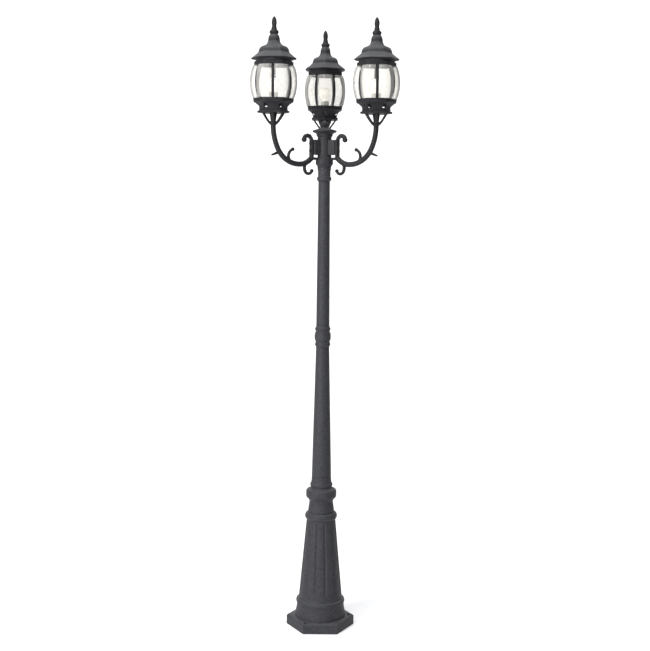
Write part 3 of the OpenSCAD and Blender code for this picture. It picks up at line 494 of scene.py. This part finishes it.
def slab(size, centre, soft=1.4, sides=48):
    """An upright block with rounded edges. Its outline is a superellipse of power 12, and
    the outline draws in over the last few steps of its height."""
    angle = (np.arange(sides) + 0.5) * 2 * np.pi / sides
    c, s = np.cos(angle), np.sin(angle)
    radius = (np.abs(c) ** 12 + np.abs(s) ** 12) ** (-1 / 12)
    t = np.linspace(0, np.pi / 2, 4)
    draw = np.concatenate([soft * (1 - np.sin(t)), soft * (1 - np.sin(t[::-1]))])
    z = np.concatenate([-size[2] / 2 + soft * (1 - np.cos(t)),
                        size[2] / 2 - soft * (1 - np.cos(t[::-1]))])
    x = radius * c * (size[0] / 2 - draw[:, None]) + centre[0]
    y = radius * s * (size[1] / 2 - draw[:, None]) + centre[1]
    return skin(np.stack([x, y, np.broadcast_to(z[:, None] + centre[2], x.shape)], -1))


TURNS = {"left": -150.0, "right": -30.0, "rear": 90.0}
wing = slab((51.5, 26, 57), (25.75, 0, z_cap - 23 - 28.5))
make("hub_casting", [turned(hub_profile, 96, 1)] + [carry(wing, turn=a) for a in TURNS.values()],
     HUB_PAINT_PAINTED_SHADE, ["hub_body"])

cap_profile = np.vstack([
    [[13, z_cap], [31, z_cap], [45, z_cap + 8], [46.5, z_cap + 10], [46.5, z_cap + 12.5],
     [44.5, z_cap + 14]],
    cubic((42.5, z_cap + 14.5), (30.5, z_cap + 17), (20.4, z_cap + 22), (13.4, z_cap + 24), 9),
    [[4, z_cap + 24]]])
make("hub_cap_casting", [turned(cap_profile, 96, 0.8)], HUB_PAINT_PAINTED_SHADE, ["hub_cap"])

z_knob = z_cap + 24
knob_profile = np.vstack([
    [[3, z_knob], [10.4, z_knob], [10.4, z_knob + 2], [7.4, z_knob + 4]],
    cubic((7.4, z_knob + 5), (15.8, z_knob + 6), (15.8, z_knob + 24), (3.5, z_knob + 26.5), 16),
    cubic((3.4, z_knob + 26.7), (2.5, z_knob + 28), (1.5, z_knob + 30), (0.2, z_knob + 30.5), 4)])
make("knob_casting", [turned(knob_profile, 64, 0.6)], HUB_PAINT_PAINTED_SHADE, ["hub_knob"])


# Arms
# Three castings, each a flat strap with a scroll over it and a round bar that sweeps down,
# out and up to its lantern, with two tendrils and a thorn that grow out of the bar.

reach, low_reach = 220.0, 110.0
root_bend, main_bend, main_turn = 69.0, 100.0, 63.0
rest = math.radians(90 - main_turn)
end_bend = (reach - low_reach - main_bend * math.cos(rest)) / (1 - math.cos(rest))
z_low = z_hub + 15
z_main = z_low + main_bend
z_end = z_main + (end_bend - main_bend) * math.sin(rest)
strap_mid, z_scroll = 56.25, z_cap - 23
scroll_x, scroll_bend = 74.3, 14.5
root_turn = math.degrees(math.acos((low_reach - strap_mid) / root_bend))
z_strap = z_low + root_bend * (1 - math.sin(math.radians(root_turn)))
z_lug = z_scroll - 57 - 19


def bend(centre, radius, first, last, steps=24):
    """Points of a circular arc in the arm's plane, from one angle to the other."""
    a = np.radians(np.linspace(first, last, steps))
    return np.stack([centre[0] + radius * np.cos(a), centre[1] + radius * np.sin(a)], 1)


def swept(path, half, across=None, sides=24, square=2.0):
    """A bar along a path in the XZ plane. Each ring is a superellipse of power square,
    half high in the plane and across wide out of it."""
    path = np.asarray(path, float)
    half = np.broadcast_to(np.asarray(half, float), len(path))
    across = half if across is None else np.broadcast_to(np.asarray(across, float), len(path))
    ahead = np.gradient(path, axis=0)
    ahead /= np.linalg.norm(ahead, axis=1, keepdims=True)
    normal = np.stack([-ahead[:, 1], ahead[:, 0]], 1)
    angle = np.arange(sides) * 2 * np.pi / sides
    c, s = np.cos(angle), np.sin(angle)
    swell = (np.abs(c) ** square + np.abs(s) ** square) ** (-1 / square)
    up = half[:, None] * c * swell
    side = across[:, None] * s * swell
    return skin(np.stack([path[:, :1] + normal[:, :1] * up, -side,
                          path[:, 1:] + normal[:, 1:] * up], -1))


def round_ends(count, size, steps=4, ends=(True, True)):
    """Half thickness along a bar: size, drawn in like a dome over its first and last steps."""
    size = np.broadcast_to(np.asarray(size, float), count).copy()
    t = np.sin(np.linspace(0.12, np.pi / 2, steps))
    if ends[0]:
        size[:steps] *= t
    if ends[1]:
        size[-steps:] *= t[::-1]
    return size


def orb(x, z, radius, sides=24):
    """A ball in the arm's plane, from pole to pole."""
    t = np.linspace(-np.pi / 2, np.pi / 2, sides // 2 + 1)
    return carry(skin(around((radius * np.cos(t))[:, None], radius * np.sin(t), sides)),
                 reach=x, lift=z)


def on_root(a):
    """The point of the bar's first bend that lies a degrees inwards of its lowest point."""
    a = math.radians(a)
    return np.array([low_reach - root_bend * math.sin(a), z_low + root_bend * (1 - math.cos(a))])


def on_main(a):
    """The point of the bar's main bend that lies a degrees outwards of its lowest point."""
    a = math.radians(a)
    return np.array([low_reach + main_bend * math.sin(a), z_main - main_bend * math.cos(a)])


def away(a):
    """A step of 1 mm in the arm's plane, a degrees above the outward direction."""
    return np.array([math.cos(math.radians(a)), math.sin(math.radians(a))])


def arm_shells():
    """The bar of three arcs, the strap and its lug, the scroll, and what grows from the bar."""
    bar = np.vstack([bend((low_reach, z_low + root_bend), root_bend, 180 + root_turn, 269, 22),
                     bend((low_reach, z_main), main_bend, 270, 269 + main_turn, 26),
                     bend((reach - end_bend, z_end), end_bend, -math.degrees(rest), 0, 26)])
    thick = np.linspace(10.25, 9.65, len(bar))
    shells = [swept(bar, thick, sides=32)]
    strap_h = z_scroll - z_strap + 8
    shells.append(slab((9.5, 22, strap_h), (strap_mid, 0, z_strap - 8 + strap_h / 2), 1.6))
    shells.append(slab((20.0, 22, 9), (43.3, 0, z_lug + 4.5), 1.2))
    # the scroll winds in from the strap's own line to its bend, and swells from flat to round
    turn = np.linspace(196, 0, 36)
    wind = scroll_bend + (scroll_x - strap_mid - scroll_bend) * np.clip((turn - 120) / 76, 0, 1) ** 2
    scroll = np.stack([scroll_x + wind * np.cos(np.radians(turn)),
                       z_scroll + wind * np.sin(np.radians(turn))], 1)
    width = np.interp(np.linspace(0, 1, 36), [0, 0.12, 0.35, 1], [10.8, 10.2, 8.6, 7.8])
    shells.append(swept(scroll, np.interp(turn, [0, 120, 196], [8, 8, 4.9]), width, square=2.4))
    shells.append(orb(scroll_x + scroll_bend, z_scroll - 1, 10))
    under = on_root(27) - 30 * away(42)
    curl = under + 15 * away(-30)
    stem = np.vstack([bend(under, 30, 42, -29, 18), bend(curl, 15, -30, -165, 26)])
    size = round_ends(len(stem), np.linspace(6.7, 5.3, len(stem)))
    shells.append(swept(stem, size, size * 1.05))
    shells.append(orb(*(curl + 15 * away(-165)), 7.25))
    inner = on_main(18) - 28 * away(-60)
    stem = bend(inner, 28, -60, 68, 28)
    size = round_ends(len(stem), np.linspace(6.4, 5.0, len(stem)))
    shells.append(swept(stem, size, size * 1.05))
    shells.append(orb(*(inner + 28 * away(68)), 7.0))
    root, length, dip = on_main(56), 38.5, 24.0
    share = np.linspace(0, 1, 16)[:, None]
    thorn = root + share * length * away(-dip) + share ** 2 * np.array([[0.8, 1.6]])
    shells.append(swept(thorn, round_ends(16, np.linspace(6.4, 3.3, 16), ends=(False, True))))
    return shells


ARM = arm_shells()
for side, turn in TURNS.items():
    make("arm_casting_" + side, [carry(shell, turn=turn) for shell in ARM], PAINT_PAINTED_DEEP_SHADE,
         ["arm_" + side])


# Bolts and pipes
# Bolts through the straps, painted over with the castings, and the zinc-plated pipes and
# bridge bars in the lanterns. They stay as they come from the frame.

def zinc():
    metal, shader, wire = finish_of("zinc_plate", Metallic=0.9)
    cloud = wire.noise(260, 3)
    brushed = wire.noise(1400, 1)
    feed(wire, shader, Base_Color=cloud.tint((0.30, 0.30, 0.31), (0.48, 0.48, 0.49)),
         Roughness=cloud * 0.25 + 0.28, Normal=wire.bumps(brushed, 0.0002, 0.3))
    return metal


ZINC = zinc()
for side in TURNS:
    for kind, finish in (("arm_bolts", PAINT_PAINTED_DEEP_SHADE), ("pipe", ZINC), ("bridge", ZINC)):
        NODES[f"{kind}_{side}"].data.materials.clear()
        NODES[f"{kind}_{side}"].data.materials.append(finish)


# Lantern holders
# Under each glass: a basket of six struts on a turned cup, round a flared sleeve, then a
# six-sided flange with crisp corners, and a vented bowl that flares out to its rim.

h_flange, h_bowl, h_rim, h_cage = 45.0, 53.0, 85.0, 92.0
ring_r, flat_share, wall = 75.0, 0.905, 3.5
pipe_bore, cup_r, cup_h = 6.15, 16.5, 15.0


def lantern_rings(lines, sides=144):
    """Rings from rows of corner radius, flat distance, height and crispness."""
    lines = np.asarray(lines, float)
    angle = np.arange(sides) * 2 * np.pi / sides
    radii = hexagon(angle[None, :], lines[:, 1:2], lines[:, 0:1], lines[:, 3:4])
    return around(radii, lines[:, 2], sides)


def rows_of(points, share, crisp):
    """Corner radius, flat distance, height and crispness from points of radius and height."""
    points = np.asarray(points, float)
    return np.stack([points[:, 0], points[:, 0] * share, points[:, 1],
                     np.full(len(points), crisp)], 1)


def bowl_line(inset):
    """The bowl's corner line, upright at its foot and flaring to the rim, set in by inset."""
    return np.vstack([
        [[53.5 - inset, h_bowl], [53.5 - inset, h_bowl + 6]],
        cubic((53.5 - inset, h_bowl + 6), (53.5 - inset, h_bowl + 19.2),
              (63 - inset, h_rim - 6.4), (ring_r - inset, h_rim), 12)[1:]])


def strut_path(bow=220.0):
    """An arc of that radius from the cup up and out to the underside of the flange."""
    foot, head = np.array([cup_r - 3, 6.0]), np.array([42.96, h_flange + 1])
    chord = head - foot
    half = math.asin(np.linalg.norm(chord) / 2 / bow)
    slope = math.atan2(chord[1], chord[0])
    centre = (foot + head) / 2 + bow * math.cos(half) * np.array([-math.sin(slope),
                                                                 math.cos(slope)])
    return bend(centre, bow, math.degrees(slope - half) - 90, math.degrees(slope + half) - 90, 22)


def bowl_shell():
    """Flange, bowl and rim outside, then the inside down to the floor and the bore."""
    flange = softened([[pipe_bore, h_flange], [60, h_flange], [60, h_bowl], [53.5, h_bowl]], 1.2)
    # near the bore the outline goes over into a circle
    ease = np.clip((flange[:, 0] - pipe_bore) / 20, 0, 1)
    flange_rows = np.stack([flange[:, 0], flange[:, 0] * (1 - 0.134 * ease), flange[:, 1],
                            np.full(len(flange), 90.0)], 1)
    outer = softened(np.vstack([bowl_line(0)[1:], [[ring_r, h_cage], [ring_r - 7, h_cage]]]), 0.9)
    inner = np.vstack([[[ring_r - 7, h_rim]], bowl_line(wall)[::-1][1:-1],
                       [[50, h_bowl + wall]]])
    floor = [[pipe_bore, pipe_bore, h_bowl + wall, 8.0]]
    rows = np.vstack([flange_rows, rows_of(outer, flat_share, 30), rows_of(inner, flat_share, 30),
                      floor])
    rows[0, 1], rows[0, 3] = pipe_bore, 8.0
    return skin(lantern_rings(rows), ring_shut=True)


def basket_shells():
    """The cup, six struts, and a skin of paint over the sleeve that widens to the flange."""
    cup = turned([[pipe_bore, 0], [cup_r - 6, 0], [cup_r - 5.2, 0.8], [cup_r, cup_h - 4],
                  [cup_r - 1, cup_h - 1], [10, cup_h], [pipe_bore, cup_h]], 56, 0.8)
    sleeve = turned([[9.4, cup_h - 1], [9.7, cup_h], [14.2, h_flange], [13, h_flange + 1]], 48, 0)
    path = strut_path()
    spread = np.interp(np.linspace(0, 1, len(path)), [0, 0.5, 1], [4.5, 4.9, 5.6])
    strut = swept(path, 3.4, spread, square=4.0)
    return [cup, sleeve] + [carry(strut, turn=a) for a in range(0, 360, 60)]


def vent_cores(wide=14.0, high=16.0):
    """Arched holes that lean with the bowl's wall, one in the middle of each face."""
    a = np.linspace(-np.pi / 2, np.pi / 2, 21)
    x = np.concatenate([[high / 2, high / 2], (wide - high) / 2 - wide / 2 * np.cos(a)])
    y = np.concatenate([[-wide / 2, wide / 2], -wide / 2 * np.sin(a)])
    lean = math.radians(90 + 28)
    depth = np.array([-11.0, 11.0])[:, None]
    ahead = np.array([math.sin(lean), math.cos(lean)])
    across = np.array([math.cos(lean), -math.sin(lean)])
    ring = np.stack([57 + depth * ahead[0] + x * across[0],
                     np.broadcast_to(y, (2, len(y))),
                     (h_bowl + h_rim) / 2 + depth * ahead[1] + x * across[1]], -1)
    return [carry(skin(ring), turn=turn) for turn in range(30, 360, 60)]


SPINS = {"left": 0.0, "right": 0.0, "rear": 30.0}


def at_lantern(side, shells):
    """The shells set on the end of that side's arm, turned as its lantern is."""
    return [carry(s, TURNS[side], reach, z_end, SPINS[side]) for s in shells]


for side in TURNS:
    bowl = make("lantern_bowl_" + side, at_lantern(side, [bowl_shell()]), PAINT_PAINTED_DEEP_SHADE,
                ["holder_" + side])
    cut_away(bowl, at_lantern(side, vent_cores()))
    make("lantern_basket_" + side, at_lantern(side, basket_shells()), PAINT_PAINTED_DEEP_SHADE, [])


# Cages
# A casting of two six-sided rings joined by six ribs that bow out with the glass, each
# rib flat behind and bevelled in front.

h_pane, h_head, h_roof, belly_z = 98.0, 220.0, 234.0, 160.0
rib_r, rib_bow, rib_w, rib_d, ring_bore_r = 76.0, 145.0, 10.0, 8.0, 58.0


def ring_shell(corner, low, high):
    """A ring with a round bore, six-sided outside, with its edges eased."""
    line = softened([[ring_bore_r, low], [corner, low], [corner, high], [ring_bore_r, high]], 1.0)
    share = np.where(line[:, 0] < ring_bore_r + 2, 1.0, flat_share)
    rows = np.stack([line[:, 0], line[:, 0] * share, line[:, 1], np.full(len(line), 30.0)], 1)
    return skin(lantern_rings(rows), ring_shut=True)


def rib_shell():
    """A bar along an arc of the rib's bend, with its front edges cut. Its back stops at the
    rings' bore, where it runs into them."""
    low = math.asin((h_cage + 2 - belly_z) / rib_bow)
    high = math.asin((h_roof - 2 - belly_z) / rib_bow)
    angle = np.linspace(low, high, 40)
    half, cut = rib_w / 2, rib_w / 4
    section = softened([[-rib_d, 0], [-rib_d, -half], [-cut, -half], [0, -cut], [0, cut],
                        [-cut, half], [-rib_d, half], [-rib_d, 0]], 0.8)[:-1]
    out = rib_bow + section[:, 0]
    x = np.maximum(rib_r - rib_bow + np.cos(angle)[:, None] * out, ring_bore_r + 0.1)
    z = belly_z + np.sin(angle)[:, None] * out
    return skin(np.stack([x, np.broadcast_to(section[:, 1], x.shape), z], -1))


CAGE = [ring_shell(76.5, h_cage, h_pane), ring_shell(74.0, h_head, h_roof)]
CAGE += [carry(rib_shell(), turn=a) for a in range(0, 360, 60)]
for side in TURNS:
    make("lantern_cage_" + side, at_lantern(side, CAGE), PAINT_PAINTED_DEEP_SHADE, ["cage_" + side])


# Glass
# Six panes of clear pressed glass in each lantern, bent both ways, with a flat bevelled
# border and slow ripples that catch the light.

def pressed_glass():
    glass, shader, wire = finish_of("pressed_glass", Roughness=0.04, IOR=1.5)
    tree = glass.node_tree
    ripple = wire.noise(55, 2, 0.55)
    streak = wire.noise(16, 1)
    feed(wire, shader, Normal=wire.bumps(ripple, 0.0022, 0.6),
         Base_Color=streak.tint((0.66, 0.65, 0.63), (0.86, 0.85, 0.82)))
    # the more the glass is seen edge on, the darker what it lets through: partly the longer way of
    # the light in it, and partly painted shade that stands in for the dark edges refraction gives
    edge = wire.node("LayerWeight", {}, {"Blend": 0.5}, out=1)
    depth = edge.between(0.32, 0.94)
    clear = wire.node("BsdfTransparent", {}, {"Color": depth.tint((0.975, 0.968, 0.955),
                                                                  (0.2, 0.2, 0.2))})
    share = edge ** 2.5 * 0.32 + (streak * 0.14 + 0.1)
    mixed = tree.nodes.new("ShaderNodeMixShader")
    tree.links.new(share.socket, mixed.inputs[0])
    tree.links.new(clear.socket, mixed.inputs[1])
    tree.links.new(shader.outputs[0], mixed.inputs[2])
    tree.links.new(mixed.outputs[0], tree.nodes["Material Output"].inputs[0])
    return glass


GLASS = pressed_glass()
belly_r, pane_bow, pane_bend, pane_t, bevel_w, bevel_t = 88.0, 127.5, 37.0, 3.0, 8.0, 1.2


def pane_shell(high=44, wide=36):
    """Both faces of one pane. A point is set by its height and by its share of the width
    between two ribs. The outer face is a torus of pane_bow by pane_bend, set back by
    bevel_t over the border, and the inner face lies pane_t below the torus."""
    gap = 0.3
    z = h_pane + gap + (h_head - h_pane - 2 * gap) * np.concatenate(
        [[0, 0.03, 0.058, 0.065, 0.072], np.linspace(0.11, 0.89, high - 10),
         [0.928, 0.935, 0.942, 0.97, 1]])
    edge = (rib_w / 2 + gap) / math.sin(math.radians(30))
    share = np.concatenate([[-1, -0.9, -0.83, -0.81, -0.78], np.linspace(-0.7, 0.7, wide - 10),
                            [0.78, 0.81, 0.83, 0.9, 1]])
    lift = np.arcsin((z - belly_z) / pane_bow)[:, None]

    def surface(below):
        """Half width w at radius x is (x - edge) * tan(30), solved on the section circle."""
        centre = belly_r - pane_bow + (pane_bow - pane_bend) * np.cos(
            np.arcsin(np.clip((z - belly_z) / (pane_bow - below), -1, 1)))[:, None]
        x = np.full((len(z), len(share)), 80.0)
        radius = pane_bend - below
        for _ in range(12):
            w = np.clip(share * (x - edge) * math.tan(math.radians(30)), -radius, radius)
            x = 0.5 * x + 0.5 * (centre + np.sqrt(np.maximum(radius ** 2 - w ** 2, 1)))
        return x, share * (x - edge) * math.tan(math.radians(30))

    rim_w = np.clip((1 - np.abs(share)) * 36 / bevel_w - 0.62, 0, 1)
    rim_h = np.clip(np.minimum(z - h_pane, h_head - z) / bevel_w - 0.62, 0, 1)[:, None]
    field = np.clip(np.minimum(rim_w, rim_h) * 3.2, 0, 1)
    ox, oy = surface(0)
    bx, by = surface(bevel_t)
    ix, iy = surface(pane_t)
    ox, oy = bx + (ox - bx) * field, by + (oy - by) * field
    zz = np.broadcast_to(z[:, None], ox.shape)
    outer, inner = np.stack([ox, oy, zz], -1), np.stack([ix, iy, zz], -1)
    rings = np.concatenate([outer, inner[:, ::-1]], 1)
    verts, quads, _ = skin(rings)
    # bottom and top are closed by strips from face to face, not by fans, so the two
    # middle points that skin adds are dropped
    around_pane = 2 * len(share)
    step = np.arange(len(share) - 1)
    foot = np.stack([step, around_pane - 1 - step, around_pane - 2 - step, step + 1], -1)
    head = foot[:, ::-1] + (len(z) - 1) * around_pane
    return verts[:-2], np.vstack([quads, foot, head]), np.zeros((0, 3), int)


PANES = [carry(pane_shell(), turn=a) for a in range(30, 360, 60)]
for side in TURNS:
    make("glass_panes_" + side, at_lantern(side, PANES), GLASS, ["panes_" + side])


# Sockets and bulbs
# A pale moulded lamp holder with a lipped foot, and a frosted pear-shaped bulb in it.

def frosted():
    material, shader, wire = finish_of("frosted_bulb", Roughness=0.35,
                                       Emission_Strength=0.6)
    mist = wire.noise(90, 2)
    feed(wire, shader, Base_Color=mist.tint((0.90, 0.88, 0.83), (0.95, 0.94, 0.90)),
         Emission_Color=mist.tint((1.0, 0.94, 0.84), (1.0, 0.97, 0.90)))
    return material


def pale_moulding():
    material, shader, wire = finish_of("pale_moulding", Roughness=0.4)
    cloud = wire.noise(120, 3)
    feed(wire, shader, Base_Color=cloud.tint((0.50, 0.49, 0.47), (0.60, 0.59, 0.56)),
         Normal=wire.bumps(cloud, 0.0005, 0.4))
    return material


BULB, MOULDING = frosted(), pale_moulding()
h_socket, h_bulb = 78.5, 85.5


def bulb_shell():
    """Metal base, a neck that flares above the socket's mouth, and a ball of 24 mm radius."""
    ball_z, radius = h_bulb + 90 - 24, 24.0
    neck = h_socket + 42.5
    shoulder = np.array([radius * math.cos(math.pi / 6), ball_z - radius / 2])
    arrive = shoulder - 7 * np.array([0.5, math.cos(math.pi / 6)])
    t = np.linspace(-math.pi / 6, math.pi / 2, 22)[1:-1]
    return turned(np.vstack([
        [[5, h_bulb], [8, h_bulb + 3], [12.6, h_bulb + 5], [13, h_bulb + 6], [13, neck - 1]],
        cubic((13, neck), (13, neck + 6), arrive, shoulder, 10),
        np.stack([radius * np.cos(t), ball_z + radius * np.sin(t)], 1),
        [[0.4, ball_z + radius]]]), 48, 0)


def socket_shell():
    """A lipped foot and a slightly waisted body, open at the top round the bulb's base."""
    top = h_socket + 42
    outside = softened([[6.2, h_socket], [20, h_socket], [20, h_socket + 5], [17, h_socket + 6],
                        [16.6, h_socket + 20], [17, top - 6], [17, top], [13.4, top],
                        [13.3, h_bulb - 0.3], [6.2, h_bulb - 0.3]], 0.9)
    return skin(around(outside[:, :1], outside[:, 1], 56), ring_shut=True)


for side in TURNS:
    make("lamp_socket_" + side, at_lantern(side, [socket_shell()]), MOULDING,
         ["socket_" + side])
    make("frosted_bulb_" + side, at_lantern(side, [bulb_shell()]), BULB,
         ["bulb_" + side], "bulb_" + side)


# Roofs and finials
# The roof casting has a thin six-sided brim, a concave slope, a dome with a soft shoulder
# and a sweep up to its neck. The finial above is the nut that holds it down.

lip_h, h_brim, h_dome, h_neck, h_finial = 8.0, 12.5, 35.25, 59.75, 101.75
lip_r, brim_r, dome_r, neck_r, roof_wall = 67.25, 85.0, 59.0, 22.4, 3.5


def roof_share(r):
    """How far out the flats lie: 0.88 of the corner line at the dome's foot, rising to 0.93
    at the brim and again at the neck."""
    low = 0.88 + 0.05 * (r - dome_r) / (brim_r - dome_r)
    high = 0.88 + 0.05 * (dome_r - r) / (dome_r - 15.4)
    return np.where(r > dome_r, low, high)


def roof_shell():
    """The lip, brim, slope, dome and neck outside, then the hollow inside, which is round."""
    slope = np.vstack([
        cubic((brim_r - 1.5, h_brim + 1.5), (brim_r - 10, h_brim + 9), (dome_r + 5, h_dome - 6),
              (dome_r, h_dome), 10),
        cubic((dome_r - 0.5, h_dome + 1.5), (dome_r - 3, h_dome + 14), (dome_r - 7, h_neck - 3),
              (dome_r - 19, h_neck), 14),
        cubic((dome_r - 21, h_neck + 0.6), (neck_r + 5, h_neck + 4), (neck_r + 3, h_neck + 10),
              (neck_r, h_neck + 18), 10),
        cubic((neck_r - 0.1, h_neck + 18.5), (neck_r - 0.5, h_neck + 24),
              (neck_r - 0.5, h_finial - 8), (15.4, h_finial), 10)])
    under = softened([[62, 0], [lip_r, 0], [lip_r, lip_h], [78, lip_h], [83, lip_h + 1.5],
                      [85, lip_h + 2.5], [85, h_brim]] + slope[:1].tolist(), 0.7)
    outer = np.vstack([under, slope[1:]])
    inner = np.stack([slope[:, 0] * roof_share(slope[:, 0]) - roof_wall,
                      slope[:, 1] - roof_wall], 1)[::-1]
    inner = inner[inner[:, 0] < 62]
    # the lip is round, and everything over it six-sided
    in_lip = (outer[:, 0] < lip_r + 0.6) & (outer[:, 1] < lip_h + 0.1)
    outer_share = np.where(in_lip, 1.0, roof_share(outer[:, 0]))
    rows = np.vstack([
        np.stack([outer[:, 0], outer[:, 0] * outer_share, outer[:, 1],
                  np.full(len(outer), 34.0)], 1),
        [[3.6, 3.6, h_finial, 8]],
        [[3.6, 3.6, h_finial - 3.5, 8]],
        np.stack([inner[:, 0], inner[:, 0], inner[:, 1], np.full(len(inner), 8.0)], 1),
        [[62, 62, h_brim + 0.5, 8]]])
    # where flats and corners are the same distance, the outline is a circle
    round_rows = rows[:, 0] == rows[:, 1]
    rings = lantern_rings(rows, 144)
    angle = np.arange(144) * 2 * np.pi / 144
    rings[round_rows] = around(rows[round_rows, :1], rows[round_rows, 2], 144)
    return skin(rings + np.array([0, 0, h_roof]), ring_shut=True)


def finial_shell(high=68.0):
    """A bead on a short foot, a stem, and a drop that ends in a blunt tip."""
    foot = h_roof + h_finial + 0.3
    drop = foot + high - 31
    line = np.vstack([
        softened([[3.3, foot], [14.5, foot], [14.4, foot + 1.5]], 0.5),
        bead(14, 3, foot + 2, foot + 15, 14),
        cubic((12, foot + 15.5), (10.5, foot + 20), (9.4, foot + 26), (8.3, drop - 5), 8),
        cubic((8.2, drop - 3), (10.6, drop + 2), (11, foot + high - 8), (0.5, foot + high), 18)])
    return turned(line, 56, 0.5)


for side in TURNS:
    make("roof_casting_" + side, at_lantern(side, [roof_shell()]), ROOF_PAINT_SHADE_AND_TOP_LIGHT,
         ["roof_" + side], "roof_" + side)
    make("finial_casting_" + side, at_lantern(side, [finial_shell()]), PAINT_PAINTED_DEEP_SHADE,
         ["finial_" + side], "finial_" + side)
